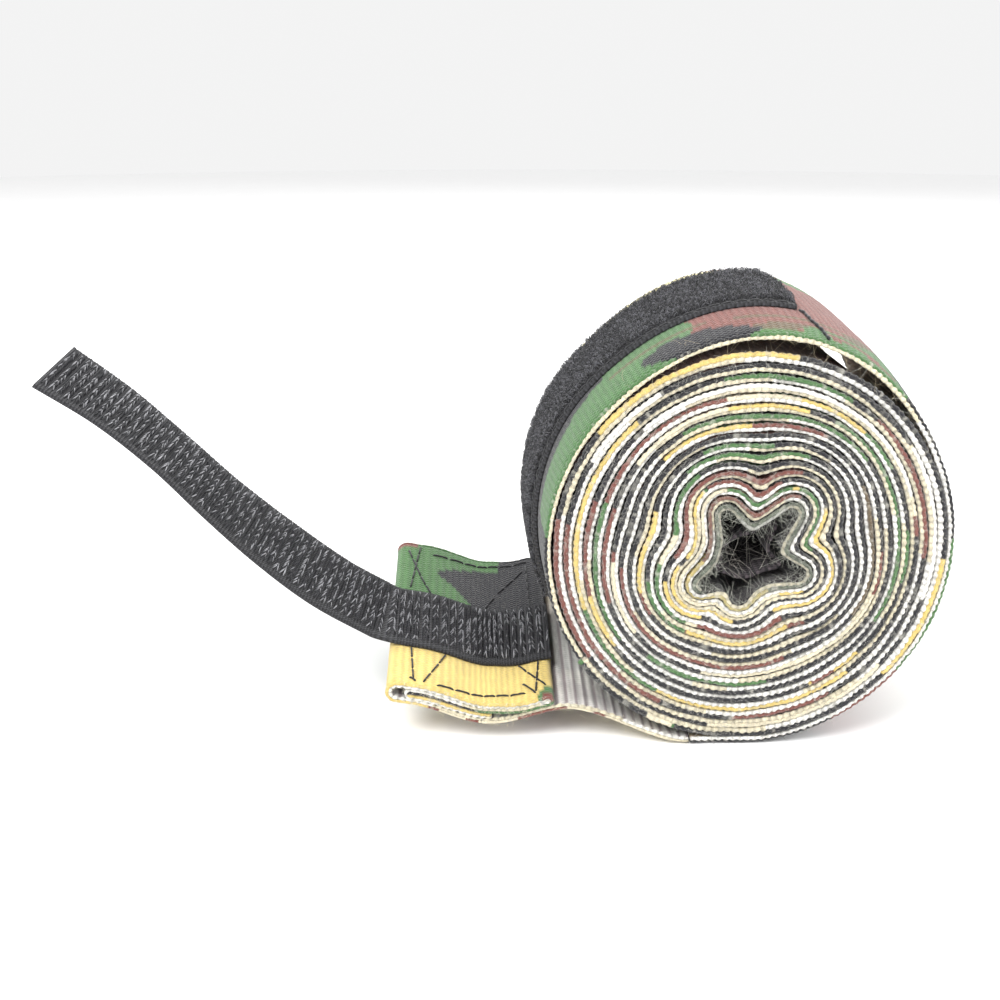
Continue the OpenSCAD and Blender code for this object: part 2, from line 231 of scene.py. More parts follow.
def tail_h(x):
    d = gone(x)
    return TAIL_RISE * ease(d / 23) - TAIL_SAG * deg(np.sin, 180 * clamp((d - 22) / 30)) ** 2 \
        + 0.006 * np.maximum(0, d - 38) ** 2


def on_tail(x, v, n):
    x, v, n = np.broadcast_arrays(np.asarray(x, float), v, n)
    tip = END_TILT * ease((gone(x) - 9) / 20)
    k = (tail_h(x + 0.05) - tail_h(x - 0.05)) / 0.1
    w = np.stack([0 * tip, deg(np.cos, tip), deg(np.sin, tip)], -1)
    up = unit(np.cross(np.stack([1 + 0 * k, 0 * k, k], -1), w))
    base = np.stack([x, NEAR_Y + 2 * ease(gone(x) / 24), tail_h(x)], -1)
    return base + v[..., None] * w + n[..., None] * up


def tail_path(path):
    """Cloth along [x, height] points of the sewn end: a function of s, v and n, and its length."""
    path = np.array(path)
    s = along(path)
    side = unit(np.gradient(path, s, axis=0))
    side = np.stack([side[:, 1], -side[:, 0]], -1)

    def on(q, v, n):
        q, v, n = np.broadcast_arrays(q, v, n)
        x = np.interp(q, s, path[:, 0]) + n * np.interp(q, s, side[:, 0])
        h = np.interp(q, s, path[:, 1]) + n * np.interp(q, s, side[:, 1])
        return on_tail(x, v, h)
    return on, s[-1]


def settle(x):
    return LAY * ease((np.asarray(x, float) - CUT_X) / 8)


def run(x0, x1, n, sinks=False):
    return [[x, n - sinks * float(settle(x))] for x in np.linspace(x0, x1, max(3, int(abs(x1 - x0) / 0.4)))]


def bend(x, n, r, side, a0, a1):
    turn = np.radians(np.linspace(a0, a1, 17)[1:-1])
    return [[x + side * r * math.cos(a), n + r * math.sin(a)] for a in turn]


# ---- the hook strap --------------------------------------------------------------------------------
def knot(i):
    i = np.asarray(i)
    q = ROUTE[np.clip(i, 0, 6)]
    q = np.where((i < 0)[..., None], 2 * ROUTE[0] - ROUTE[1], q)
    return np.where((i > 6)[..., None], 2 * ROUTE[6] - ROUTE[5], q)


def route(k):
    i = np.minimum(np.floor(k).astype(int), 5)
    t = (k - i)[..., None]
    a, b, c, d = knot(i - 1), knot(i), knot(i + 1), knot(i + 2)
    return (2 * b + t * (c - a) + t * t * (2 * a - 5 * b + 4 * c - d) + t ** 3 * (3 * b - a - 3 * c + d)) / 2


def on_strap(k, v, n):
    k, v, n = np.broadcast_arrays(np.asarray(k, float), v, n)
    p = route(k)
    d = unit(route(np.minimum(k + 0.02, 6)) - route(np.maximum(k - 0.02, 0)))
    tip = END_TILT - 6 * deg(np.sin, 180 * clamp((k - 1) / 6)) ** 2
    w = unit(np.stack([-d[..., 1] / d[..., 0] * deg(np.sin, tip), deg(np.cos, tip), deg(np.sin, tip)], -1))
    up = unit(np.cross(w, np.stack([d[..., 0], 0 * k, d[..., 1]], -1)))
    return np.stack([p[..., 0], 0 * k + ROUTE_Y, p[..., 1]], -1) + v[..., None] * w + n[..., None] * up


BASE_LEN = BASE_X + 65.2          # sewn length of the tape
JOIN = 3.0                        # length over which it leaves the flap
ROOT_K = 0.12
STEP_K = 13.3                     # length of tape from one hinge to the next
STRAP_END = BASE_LEN + JOIN + (6 - ROOT_K) * STEP_K


def on_hook(q, v, n):
    """Tape at q along it from its sewn end, v across from its middle, n above its middle layer."""
    q, v, n = np.broadcast_arrays(q, v, n)
    sewn = lambda t: on_tail(BASE_X - t, STRAP_IN + STRAP_W / 2 + v,
                             STACK_T + 0.05 + STRAP_T / 2 + n - settle(BASE_X - t))
    free = lambda t: on_strap(np.clip(ROOT_K + (t - BASE_LEN - JOIN) / STEP_K, 0, 6), v, n)
    t = clamp((q - BASE_LEN) / JOIN)[..., None]
    p0, p1 = sewn(np.minimum(q, BASE_LEN)), free(np.maximum(q, BASE_LEN + JOIN))
    m0 = (sewn(np.full_like(q, BASE_LEN)) - sewn(np.full_like(q, BASE_LEN - 0.5))) * 2 * JOIN
    m1 = (free(np.full_like(q, BASE_LEN + JOIN + 0.5)) - free(np.full_like(q, BASE_LEN + JOIN))) * 2 * JOIN
    h = (2 * t ** 3 - 3 * t ** 2 + 1) * p0 + (t ** 3 - 2 * t ** 2 + t) * m0 \
        + (3 * t ** 2 - 2 * t ** 3) * p1 + (t ** 3 - t ** 2) * m1
    return np.where(t <= 0, p0, np.where(t >= 1, p1, h))


# ---- mesh building ---------------------------------------------------------------------------------
def make(name, verts, quads, tris=None, rgb=None, uv=None, mats=(), mat_of=None):
    me = bpy.data.meshes.new(name)
    n_q, n_t = len(quads), 0 if tris is None else len(tris)
    loops = np.concatenate([quads.ravel()] + ([tris.ravel()] if n_t else []))
    me.vertices.add(len(verts))
    me.vertices.foreach_set("co", (verts * MM).astype(np.float32).ravel())
    me.loops.add(len(loops))
    me.loops.foreach_set("vertex_index", loops.astype(np.int32))
    me.polygons.add(n_q + n_t)
    starts = np.concatenate([np.arange(n_q) * 4, n_q * 4 + np.arange(n_t) * 3])
    me.polygons.foreach_set("loop_start", starts.astype(np.int32))
    me.update(calc_edges=True)
    me.validate()
    me.polygons.foreach_set("use_smooth", np.ones(len(me.polygons), bool))
    if rgb is not None:
        at = me.color_attributes.new("tint", "FLOAT_COLOR", "POINT")
        rgba = np.concatenate([rgb, np.ones((len(rgb), 1))], 1)
        at.data.foreach_set("color", rgba.astype(np.float32).ravel())
    if uv is not None:
        layer = me.uv_layers.new(name="UVMap")
        layer.data.foreach_set("uv", (uv[loops] * 0.01).astype(np.float32).ravel())
    for m in mats:
        me.materials.append(m)
    if mat_of is not None:
        me.polygons.foreach_set("material_index", mat_of.astype(np.int32))
    me.update()
    ob = bpy.data.objects.new(name, me)
    bpy.context.scene.collection.objects.link(ob)
    return ob


def grid_quads(m, k, close_u=False, close_v=False):
    i = np.arange(m if close_u else m - 1)
    j = np.arange(k if close_v else k - 1)
    i, j = np.meshgrid(i, j, indexing="ij")
    i2, j2 = (i + 1) % m, (j + 1) % k
    return np.stack([i * k + j, i * k + j2, i2 * k + j2, i2 * k + j], -1).reshape(-1, 4)


def sweep(name, rows, rgb, uv, mat, ring=False):
    """Skin over rows of points (rows, points in a row, 3), each row a closed loop; the ends are capped."""
    m, k = rows.shape[:2]
    quads = grid_quads(m, k, close_u=ring, close_v=True)
    verts, tris = rows.reshape(-1, 3), None
    rgb, uv = rgb.reshape(-1, 3), uv.reshape(-1, 2)
    if not ring:
        caps = []
        for row, turn in ((0, 1), (m - 1, -1)):
            verts = np.concatenate([verts, rows[row].mean(0)[None]])
            rgb = np.concatenate([rgb, rgb[row * k:row * k + 1]])
            uv = np.concatenate([uv, uv[row * k:row * k + 1]])
            j = np.arange(k)
            t = np.stack([np.full(k, len(verts) - 1), row * k + (j + 1) % k, row * k + j], -1)
            caps.append(t[:, ::turn])
        tris = np.concatenate(caps)
    return make(name, verts, quads, tris, rgb, uv, [mat])


def tubes(name, paths, radius, rgb, mat, sides=4):
    """One mesh of many thin tubes: paths (tubes, points, 3), radius (tubes, points), colour (tubes, 3)."""
    t, m = paths.shape[:2]
    d = unit(np.gradient(paths, axis=1))
    ref = np.where(np.abs(d[..., 1:2]) > 0.9, np.array([1.0, 0, 0]), np.array([0, 1.0, 0]))
    a = unit(np.cross(d, ref))
    b = np.cross(d, a)
    phi = np.linspace(0, 2 * np.pi, sides, endpoint=False)
    ring = a[:, :, None] * np.cos(phi)[:, None] + b[:, :, None] * np.sin(phi)[:, None]
    pts = paths[:, :, None] + ring * radius[:, :, None, None]
    q = grid_quads(m, sides, close_v=True)
    quads = (q[None] + (np.arange(t) * m * sides)[:, None, None]).reshape(-1, 4)
    col = np.repeat(rgb, m * sides, axis=0) if rgb.ndim == 2 else np.repeat(rgb.reshape(-1, 3), sides, axis=0)
    s = np.concatenate([np.zeros((t, 1)), np.cumsum(np.linalg.norm(np.diff(paths, axis=1), axis=2), 1)], 1)
    uv = np.stack([np.broadcast_to(s[:, :, None], (t, m, sides)),
                   np.broadcast_to(phi / 6.28, (t, m, sides))], -1).reshape(-1, 2)
    # flat end caps
    c = np.arange(t) * m * sides
    e = c + (m - 1) * sides
    caps = [np.stack([c + j + 1, c + j, c], -1) for j in range(1, sides - 1)]
    caps += [np.stack([e, e + j, e + j + 1], -1) for j in range(1, sides - 1)]
    return make(name, pts.reshape(-1, 3), quads, np.concatenate(caps), col, uv, [mat])


# ---- materials -------------------------------------------------------------------------------------
def nodes_of(name, rough, sheen=0.0, spec=0.25, sheen_rough=0.5):
    m = bpy.data.materials.new(name)
    m.use_nodes = True
    nt = m.node_tree
    p = nt.nodes["Principled BSDF"]
    p.inputs["Roughness"].default_value = rough
    p.inputs["Sheen Weight"].default_value = sheen
    p.inputs["Sheen Roughness"].default_value = sheen_rough
    p.inputs["Specular IOR Level"].default_value = spec
    return m, nt, p


def node(nt, kind, **values):
    n = nt.nodes.new(kind)
    for k, v in values.items():
        setattr(n, k, v)
    return n


def maths(nt, op, a, b=None):
    n = node(nt, "ShaderNodeMath", operation=op)
    for i, v in enumerate((a, b)):
        if v is None:
            continue
        if isinstance(v, (int, float)):
            n.inputs[i].default_value = v
        else:
            nt.links.new(v, n.inputs[i])
    return n.outputs[0]


def ramp(nt, value, lo, hi, to_lo=0.0, to_hi=1.0):
    n = node(nt, "ShaderNodeMapRange")
    nt.links.new(value, n.inputs[0])
    for i, v in zip((1, 2, 3, 4), (lo, hi, to_lo, to_hi)):
        n.inputs[i].default_value = v
    return n.outputs[0]


def noise_tex(nt, vector, scale, detail=2.0, rough=0.5):
    n = node(nt, "ShaderNodeTexNoise")
    nt.links.new(vector, n.inputs["Vector"])
    n.inputs["Scale"].default_value = scale
    n.inputs["Detail"].default_value = detail
    n.inputs["Roughness"].default_value = rough
    return n.outputs["Fac"]


def mix(nt, fac, a, b, kind="MIX"):
    n = node(nt, "ShaderNodeMix", data_type="RGBA", blend_type=kind)
    for sock, v in ((n.inputs[0], fac), (n.inputs[6], a), (n.inputs[7], b)):
        if isinstance(v, (int, float)):
            sock.default_value = v
        elif isinstance(v, (tuple, list, np.ndarray)):
            sock.default_value = (*[float(x) for x in v], 1.0)
        else:
            nt.links.new(v, sock)
    return n.outputs[2]


def bump(nt, p, height, strength, dist):
    b = node(nt, "ShaderNodeBump")
    b.inputs["Strength"].default_value = strength
    b.inputs["Distance"].default_value = dist
    nt.links.new(height, b.inputs["Height"])
    nt.links.new(b.outputs[0], p.inputs["Normal"])


def uv_mm(nt):
    """Distance along and across the cloth in millimetres, from the UV map."""
    uv = node(nt, "ShaderNodeUVMap", uv_map="UVMap")
    s = node(nt, "ShaderNodeSeparateXYZ")
    nt.links.new(uv.outputs[0], s.inputs[0])
    return maths(nt, "MULTIPLY", s.outputs[0], 100.0), maths(nt, "MULTIPLY", s.outputs[1], 100.0)


def shaded(nt, shade):
    """The tint of the mesh times a grey level."""
    grey = node(nt, "ShaderNodeCombineColor")
    for i in range(3):
        nt.links.new(shade, grey.inputs[i])
    tint = node(nt, "ShaderNodeVertexColor", layer_name="tint").outputs[0]
    return mix(nt, 1.0, tint, grey.outputs[0], "MULTIPLY")


def cloth_material(name, speck, rib_depth, weave=0.75, contrast=0.35):
    """Ribbed cotton: ribs across, small knit bumps along them, painted shade in their hollows, pale flecks and
    fuzz over the tint.
    """
    m, nt, p = nodes_of(name, 0.92, sheen=0.25, spec=0.12)
    s, v = uv_mm(nt)
    pos = node(nt, "ShaderNodeTexCoord").outputs["Object"]
    wob = maths(nt, "MULTIPLY", noise_tex(nt, pos, 700.0), 0.5)
    rib = maths(nt, "SINE", maths(nt, "MULTIPLY", maths(nt, "ADD", s, wob), 2 * math.pi / RIB))
    row = maths(nt, "FLOOR", maths(nt, "DIVIDE", s, RIB / 2))
    shifted = maths(nt, "ADD", v, maths(nt, "MULTIPLY", row, weave / 2))
    knit = maths(nt, "SINE", maths(nt, "MULTIPLY", maths(nt, "ADD", shifted, wob), 2 * math.pi / weave))
    fine = noise_tex(nt, pos, 5200.0, 3.0, 0.7)
    broad = noise_tex(nt, pos, 260.0, 2.0)
    height = maths(nt, "ADD", maths(nt, "MULTIPLY", rib, rib_depth), maths(nt, "MULTIPLY", knit, 0.22))
    height = maths(nt, "ADD", height, maths(nt, "MULTIPLY", fine, 0.5))
    # painted shade: the tint is darker in the hollows of the ribs and knit and lighter on their tops
    shade = ramp(nt, height, -0.7, 1.1, 1.0 - contrast, 1.0 + contrast * 0.45)
    shade = maths(nt, "MULTIPLY", shade, ramp(nt, broad, 0.25, 0.75, 0.9, 1.08))
    col = shaded(nt, shade)
    flecks = ramp(nt, noise_tex(nt, pos, 3300.0, 2.0, 0.8), 0.6, 0.72, 0.0, speck)
    col = mix(nt, flecks, col, tuple(srgb(176, 172, 160)))
    nt.links.new(col, p.inputs["Base Color"])
    bump(nt, p, height, 0.9, 0.00022)
    return m


def yarn_material(name, speck, contrast=0.3):
    """Twisted yarn along an edge: the tint, with fine fibres and darker twist lines."""
    m, nt, p = nodes_of(name, 0.95, sheen=0.3, spec=0.1)
    pos = node(nt, "ShaderNodeTexCoord").outputs["Object"]
    fine = noise_tex(nt, pos, 4200.0, 3.0, 0.75)
    broad = noise_tex(nt, pos, 900.0, 2.0)
    shade = maths(nt, "MULTIPLY", ramp(nt, fine, 0.3, 0.7, 1.0 - contrast, 1.0 + contrast * 0.4),
                  ramp(nt, broad, 0.3, 0.7, 0.82, 1.06))
    col = shaded(nt, shade)
    flecks = ramp(nt, noise_tex(nt, pos, 2600.0, 2.0, 0.8), 0.56, 0.66, 0.0, speck)
    col = mix(nt, flecks, col, tuple(srgb(214, 210, 200)))
    nt.links.new(col, p.inputs["Base Color"])
    bump(nt, p, fine, 0.8, 0.0003)
    return m


def tape_material(name, pitch, colour, light, rough=0.7):
    """Woven nylon tape: fine cords across it and small crossing yarns, with painted shade in their hollows and
    painted light on their tops.
    """
    m, nt, p = nodes_of(name, rough, sheen=0.1, spec=0.35)
    s, v = uv_mm(nt)
    pos = node(nt, "ShaderNodeTexCoord").outputs["Object"]
    cords = maths(nt, "SINE", maths(nt, "MULTIPLY", s, 2 * math.pi / pitch))
    row = maths(nt, "FLOOR", maths(nt, "DIVIDE", s, pitch))
    shifted = maths(nt, "ADD", v, maths(nt, "MULTIPLY", row, pitch * 0.45))
    cross = maths(nt, "SINE", maths(nt, "MULTIPLY", shifted, 2 * math.pi / (pitch * 0.9)))
    fine = noise_tex(nt, pos, 3800.0, 2.0, 0.7)
    height = maths(nt, "ADD", maths(nt, "MULTIPLY", cords, 0.5), maths(nt, "MULTIPLY", cross, 0.4))
    height = maths(nt, "ADD", height, maths(nt, "MULTIPLY", fine, 0.4))
    # painted light and shade: the colour runs from the dark tone in the hollows to the lighter one on the tops of
    # the cords
    col = mix(nt, ramp(nt, height, -0.5, 1.15, 0.0, 1.0), tuple(colour), tuple(light))
    nt.links.new(col, p.inputs["Base Color"])
    bump(nt, p, height, 0.8, 0.00018)
    return m


def fibre_material(name, rough, spec, sheen=0.0):
    m, nt, p = nodes_of(name, rough, sheen=sheen, spec=spec)
    pos = node(nt, "ShaderNodeTexCoord").outputs["Object"]
    shade = ramp(nt, noise_tex(nt, pos, 1500.0), 0.3, 0.7, 0.75, 1.15)
    nt.links.new(shaded(nt, shade), p.inputs["Base Color"])
    return m


PRINTED = cloth_material("printed_cotton", 0.5, 0.3, contrast=0.4)
EDGE = yarn_material("selvage_yarn", 0.25)
TAPE = tape_material("hook_tape_weave", 0.62, srgb(16, 16, 18), srgb(56, 56, 60))
LOOP_EDGE = tape_material("loop_tape_weave", 0.7, srgb(14, 14, 16), srgb(52, 52, 56))
THUMB = tape_material("thumb_tape_weave", 1.1, srgb(20, 18, 20), srgb(76, 68, 72), 0.85)
HOOKS = fibre_material("hook_nylon", 0.28, 0.6)
PILE = fibre_material("pile_fibre", 0.75, 0.25, 0.3)
FUZZ = fibre_material("cotton_fuzz", 0.9, 0.1, 0.2)
THREAD = fibre_material("sewing_thread", 0.55, 0.4, 0.2)


# ---- the printed pattern ---------------------------------------------------------------------------
def camo(s, v):
    """Colour of the print at s along the whole strip and v across it, both in millimetres."""
    s, v = np.broadcast_arrays(np.asarray(s, float), np.asarray(v, float))
    x, y = s / 40, v / 19
    w = lambda a, b, k: noise(x * k + a, y * k + b) * 0.72 + noise(x * k * 2.6 + a, y * k * 2.6 + b) * 0.28
    pick = np.where(w(12.9, 91.4, 0.8) > 0.5, 0, 4)
    pick[w(3.1, 7.7, 1.0) > 0.53] = 1
    pick[w(41.3, 19.2, 1.1) > 0.6] = 2
    pick[w(77.5, 53.9, 1.15) > 0.52] = 3
    return PRINT[pick]


def blobs(base, a, v, shapes):
    """Paints ellipses with wavering outlines over a base."""
    out = base.copy()
    for colour, a0, v0, ra, rv, slant in shapes:
        da, dv = a - a0, v - v0 - slant * (a - a0)
        edge = 1 + 0.5 * (noise(a / 7 + a0, v / 5 + v0) - 0.5)
        out[(da / ra) ** 2 + (dv / rv) ** 2 < edge] = colour
    return out


# (colour, direction, distance across, size in each, slant)
LAST_BLOBS = [
    (KHAKI, 80, 19.2, 44.5, 17.6, -0.15), (BROWN, 80, 20.2, 43, 16.5, -0.15), (GREEN, 150, 3.5, 40, 11.5, 0.0),
    (GREEN, 122, 5, 16, 7.5, -0.25), (BLACK, 158, 11.8, 25, 3.2, 0.0), (BLACK, 201, 6, 27, 17, 0.0),
    (BLACK, 104, 2.0, 18.5, 3.5, 0.13), (GREEN, 69, -0.4, 23, 2.6, 0.0), (BLACK, 24, 28, 33, 40, 0.0),
    (PALE, 125, 48, 36, 10, 0.0), (GREEN, 64, 40.3, 17, 2.1, 0.0), (YELLOW, 62, 47, 20, 5.2, 0.0),
    (GREEN, -20, 12, 20, 18, 0.2), (BROWN, -55, 30, 22, 16, 0.0), (GREEN, -85, 20, 18, 20, 0.0),
]
# the same, with x along the sewn end in place of the direction
FLAP_BLOBS = [
    (YELLOW, -50, 6, 40, 14, 0.0), (GREEN, -52, 42, 30, 18, 0.0), (BLACK, -38, 36, 19.5, 8.5, -0.2),
    (BLACK, -33, 44, 11, 16, 0.0), (BROWN, -65, 49.6, 3.0, 1.4, 0.0), (GREEN, -34.4, 0.6, 2.0, 2.6, 0.0),
]


# ---- camera, light and floor -----------------------------------------------------------------------
cam = bpy.data.objects.new("camera", bpy.data.cameras.new("camera"))
cam.data.lens = 46.8
cam.data.sensor_width = 36
cam.location = (-0.04916, -0.24323, 0.11902)
cam.rotation_euler = Euler((math.radians(90 - 17.97), 0, math.radians(-1.23)))
bpy.context.scene.collection.objects.link(cam)
bpy.context.scene.camera = cam
bpy.context.scene.view_settings.view_transform = "Standard"


def area_light(name, at, aim, size, watts, colour=(1, 1, 1)):
    li = bpy.data.lights.new(name, "AREA")
    li.shape, li.size, li.energy, li.color = "DISK", size, watts, colour
    ob = bpy.data.objects.new(name, li)
    ob.location = at
    d = np.array(aim) - np.array(at)
    ob.rotation_euler = Euler((math.atan2(math.hypot(d[0], d[1]), -d[2]), 0, math.atan2(d[0], -d[1]) + math.pi))
    bpy.context.scene.collection.objects.link(ob)


area_light("key", (-0.45, -0.55, 0.75), (-0.03, 0, 0.03), 0.5, 10.0)
area_light("fill", (0.6, -0.5, 0.5), (-0.03, 0, 0.03), 0.7, 4.5)
area_light("back", (0.1, 0.7, 0.7), (-0.03, 0, 0.03), 0.7, 5.0)

world = bpy.data.worlds.new("studio")
world.use_nodes = True
world.node_tree.nodes["Background"].inputs[0].default_value = (1, 1, 1, 1)
world.node_tree.nodes["Background"].inputs[1].default_value = 0.9
bpy.context.scene.world = world

ring = [(1.6 * math.cos(a), 1.6 * math.sin(a), 0) for a in np.linspace(0, 2 * math.pi, 65)[:-1]]
floor_mesh = bpy.data.meshes.new("floor")
floor_mesh.from_pydata([(x, y, -0.0004) for x, y, z in ring], [], [list(range(64))])
floor = bpy.data.objects.new("floor", floor_mesh)
bpy.context.scene.collection.objects.link(floor)
fm, fnt, fp = nodes_of("floor_paint", 0.8, spec=0.1)
fpos = node(fnt, "ShaderNodeTexCoord").outputs["Object"]
fcol = mix(fnt, noise_tex(fnt, fpos, 40.0), (0.89, 0.89, 0.89), (0.92, 0.92, 0.92))
fnt.links.new(fcol, fp.inputs["Base Color"])
floor_mesh.materials.append(fm)
floor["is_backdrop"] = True


# ---- strip cloth -----------------------------------------------------------------------------------
def underside(s, v):
    """The unprinted side: white ribs, purple-grey between them with painted shade in the rib hollows, the print
    showing through faintly, and painted shade over the innermost turns.
    """
    through = camo(s, v)
    # painted shade: the colour darkens to purple-grey in the hollows between the ribs
    valley_shade = clamp(-np.sin(2 * np.pi * s / RIB_LOW) * 1.6 - 0.1)[..., None]
    dirt = noise(s / 3 + 9, v / 4)[..., None]
    base = WHITE * 0.72 * (0.8 + 0.2 * dirt) + through * 0.14
    rgb = base * (1 - 0.72 * valley_shade) + srgb(104, 84, 92) * 0.72 * valley_shade
    # painted shade: the innermost turns, deep in the hole, are darkened to near black
    core = clamp((240 - s) / 120)[..., None]
    return rgb * (1 - core) + srgb(58, 55, 56) * core


def cloth(name, on, s, sign, top_of, low_of, s_off=0.0, thick=1.0, dv=2.5, relief=0.0, ends=0.3):
    """A closed ribbon of cloth. sign says which side of on()'s normal is printed."""
    v_mid = np.linspace(0.9, STRIP_W - 0.9, max(4, int(48.2 / dv)))
    v = np.concatenate([[ends, ends + 0.2], v_mid, [STRIP_W - ends - 0.2, STRIP_W - ends],
                        [STRIP_W - ends, STRIP_W - ends - 0.2], v_mid[::-1], [ends + 0.2, ends]])
    side = np.concatenate([[0.45, 0.85], np.ones(len(v_mid)), [0.85, 0.45],
                           [-0.45, -0.85], -np.ones(len(v_mid)), [-0.85, -0.45]])
    S, V = np.meshgrid(s, v, indexing="ij")
    bow = 0.25 * noise(S / 14 + 5, V / 9)
    pitch = np.where(side > 0, RIB, RIB_LOW)
    knit = np.sin(2 * np.pi * (V / 0.9 + np.floor(S / pitch) / 2))
    wave = relief * (np.sin(2 * np.pi * (S + bow) / pitch) + 0.4 * knit)
    n = side * thick / 2 + np.sign(side) * wave * (np.abs(side) > 0.9)
    rows = on(S, V, sign * n)
    top = side > 0
    rgb = np.empty((*S.shape, 3))
    rgb[:, top] = top_of(S[:, top] + s_off, V[:, top])
    rgb[:, ~top] = low_of(S[:, ~top] + s_off, V[:, ~top])
    rgb = np.clip(rgb * (1 + 0.12 * (rng.random((*S.shape, 1)) - 0.5)), 0, 1)
    if sign < 0:        # so that the faces look outward
        rows, rgb, S, V = rows[:, ::-1], rgb[:, ::-1], S[:, ::-1], V[:, ::-1]
    return sweep(name, rows, rgb, np.stack([S + s_off, V], -1), PRINTED)


def edge_strand(name, on, s, v0, n0, radius, rgb, bead=0.0, wander=0.12, sides=6, s_off=0.0):
    """The yarn along one edge of the cloth; bead makes it swell at each rib."""
    q = s + s_off
    w = noise(q / 4.7 + 3 * v0, 11 + n0 * 7) - 0.5
    w2 = noise(q / 1.9 + 31, 5 + v0) - 0.5
    v = v0 + 2 * wander * w
    n = n0 + 0.5 * wander * w2 + 0.05 * np.sin(2 * np.pi * q / RIB)
    swell = bead * np.sin(2 * np.pi * (q + 0.3 * w2) / RIB)
    r = radius * (1 + swell + 0.24 * (noise(q / 0.55, v0 * 3 + 2) - 0.5))
    r = np.where((s < s[0] + 0.2) | (s > s[-1] - 0.2), r * 0.5, r)
    return tubes(name, on(s, v, n)[None], r[None], rgb[None], EDGE, sides)


def edge_rgb(base, s, dark=0.5, seed=0.0, bead_shade=0.0):
    """Colours along a yarn: base, with soft flecks of the white core and painted shade in the hollow between one
    bead and the next.
    """
    k = noise(s / 0.8 + seed, 3.3 + seed) * 0.6 + noise(s / 0.31 + seed, 8.1) * 0.4
    rgb = base * (1 - dark * clamp(0.55 - k)[..., None])
    # painted shade: the yarn is darkened and browned in the hollow between one bead and the next
    gap = clamp(-np.sin(2 * np.pi * (s + 0.5 * noise(s / 3, seed)) / RIB) * 1.5 - 0.35)[..., None]
    rgb = rgb * (1 - bead_shade * gap) + srgb(96, 88, 78) * 0.5 * bead_shade * gap
    pale = clamp((noise(s / 0.62 + seed, 17.7 + seed) - 0.74) * 5)[..., None]
    return rgb * (1 - 0.55 * pale) + srgb(205, 202, 190) * 0.55 * pale


# edge colours of the wound turns that show on the near face: (from angle, to angle, radius there, colour)
ARCS = [
    (-2, 78, 34.8, BLACK), (78, 140, 34.8, YELLOW), (140, 170, 34.6, BLACK), (170, 215, 34.6, BROWN),
    (40, 120, 33.4, BLACK), (120, 150, 33.4, WHITE), (60, 100, 32.0, GREEN), (20, 130, 30.6, WHITE),
    (130, 200, 30.4, YELLOW), (50, 75, 29.2, YELLOW), (75, 125, 29.2, CREAM), (60, 100, 27.9, BLACK),
    (100, 160, 27.8, BROWN), (70, 100, 26.6, YELLOW), (100, 140, 26.5, CREAM), (40, 120, 25.2, GREEN),
    (60, 92, 23.9, BROWN), (92, 130, 23.8, YELLOW), (30, 130, 22.4, BLACK), (130, 185, 22.4, BLACK),
    (80, 115, 20.6, GREEN), (30, 80, 20.4, BLACK), (115, 160, 20.3, BLACK), (60, 125, 18.6, GREEN),
    (60, 120, 16.6, BLACK), (300, 395, 15.2, YELLOW), (235, 300, 16.4, YELLOW), (195, 235, 15.6, YELLOW),
    (150, 200, 19.0, YELLOW), (70, 118, 13.6, BROWN), (60, 110, 11.0, GREEN), (185, 260, 13.4, YELLOW),
    (210, 300, 18.6, BLACK), (210, 290, 22.0, BROWN), (300, 350, 21.4, BLACK), (330, 395, 22.8, KHAKI),
    (330, 395, 27.0, GREEN), (230, 300, 26.4, BLACK), (240, 310, 30.0, YELLOW), (300, 340, 31.2, BLACK),
    (200, 240, 31.5, GREEN), (160, 200, 25.3, BROWN), (170, 215, 28.0, GREEN), (345, 395, 33.6, WHITE),
    (260, 320, 34.6, CREAM), (230, 260, 34.6, BLACK),
]


def wound_rgb(s, v):
    """Print colour of the wound strip's edge yarn: the pattern, or a listed colour where it shows."""
    out = camo(s, v)
    u, a = np.interp(s, WS, WU), np.interp(s, WS, WA)
    r = turn_r(u, a)
    for a0, a1, at, colour in ARCS:
        mid = (a0 + a1) / 2
        us = np.arange(TURNS) + ((START_A - mid) / 360) % 1
        rs = turn_r(us, np.full(TURNS, float(mid)))
        best = us[np.argmin(np.abs(rs - at))]
        half = (a1 - a0) / 720
        wob = 0.012 * (noise(s / 2.1, 4.4) - 0.5)
        out[np.abs(u + wob - best) < half] = colour
    # greyer and darker towards the innermost turn
    fade = (0.6 * clamp((1.5 - u) / 0.7))[..., None]
    inner_grey = srgb(126, 134, 116) * (0.5 + 0.9 * noise(s / 0.9, 6.6)[..., None])
    return out * (1 - fade) + inner_grey * fade


def local_pitch(s):
    """Room between one turn and the next at s, measured square to the cloth."""
    u = np.interp(s, WS, WU)
    a = START_A - 360 * (u - TURNS)
    gap = turn_r(np.minimum(u + 1, TURNS + 1), a) - turn_r(u, a)
    d = np.stack([np.interp(s, WS, WN[:, 0]), np.interp(s, WS, WN[:, 1])], -1)
    radial = np.stack([deg(np.cos, a), deg(np.sin, a)], -1)
    return np.clip(gap * np.abs((d * radial).sum(-1)), 1.15, 2.4)


def core_rgb(s, seed):
    """Pale yarn on the unprinted side of the wound strip, greyer and darker in the innermost turn."""
    rgb = np.where((noise(s / 26, seed) > 0.45)[:, None], WHITE, CREAM)
    k = 0.7 * clamp((np.interp(1.1, WU, WS) - s) / 60)[:, None]
    return rgb * (1 - k) + srgb(140, 143, 132) * (0.55 + 0.7 * noise(s / 0.8, seed + 3)[:, None]) * k


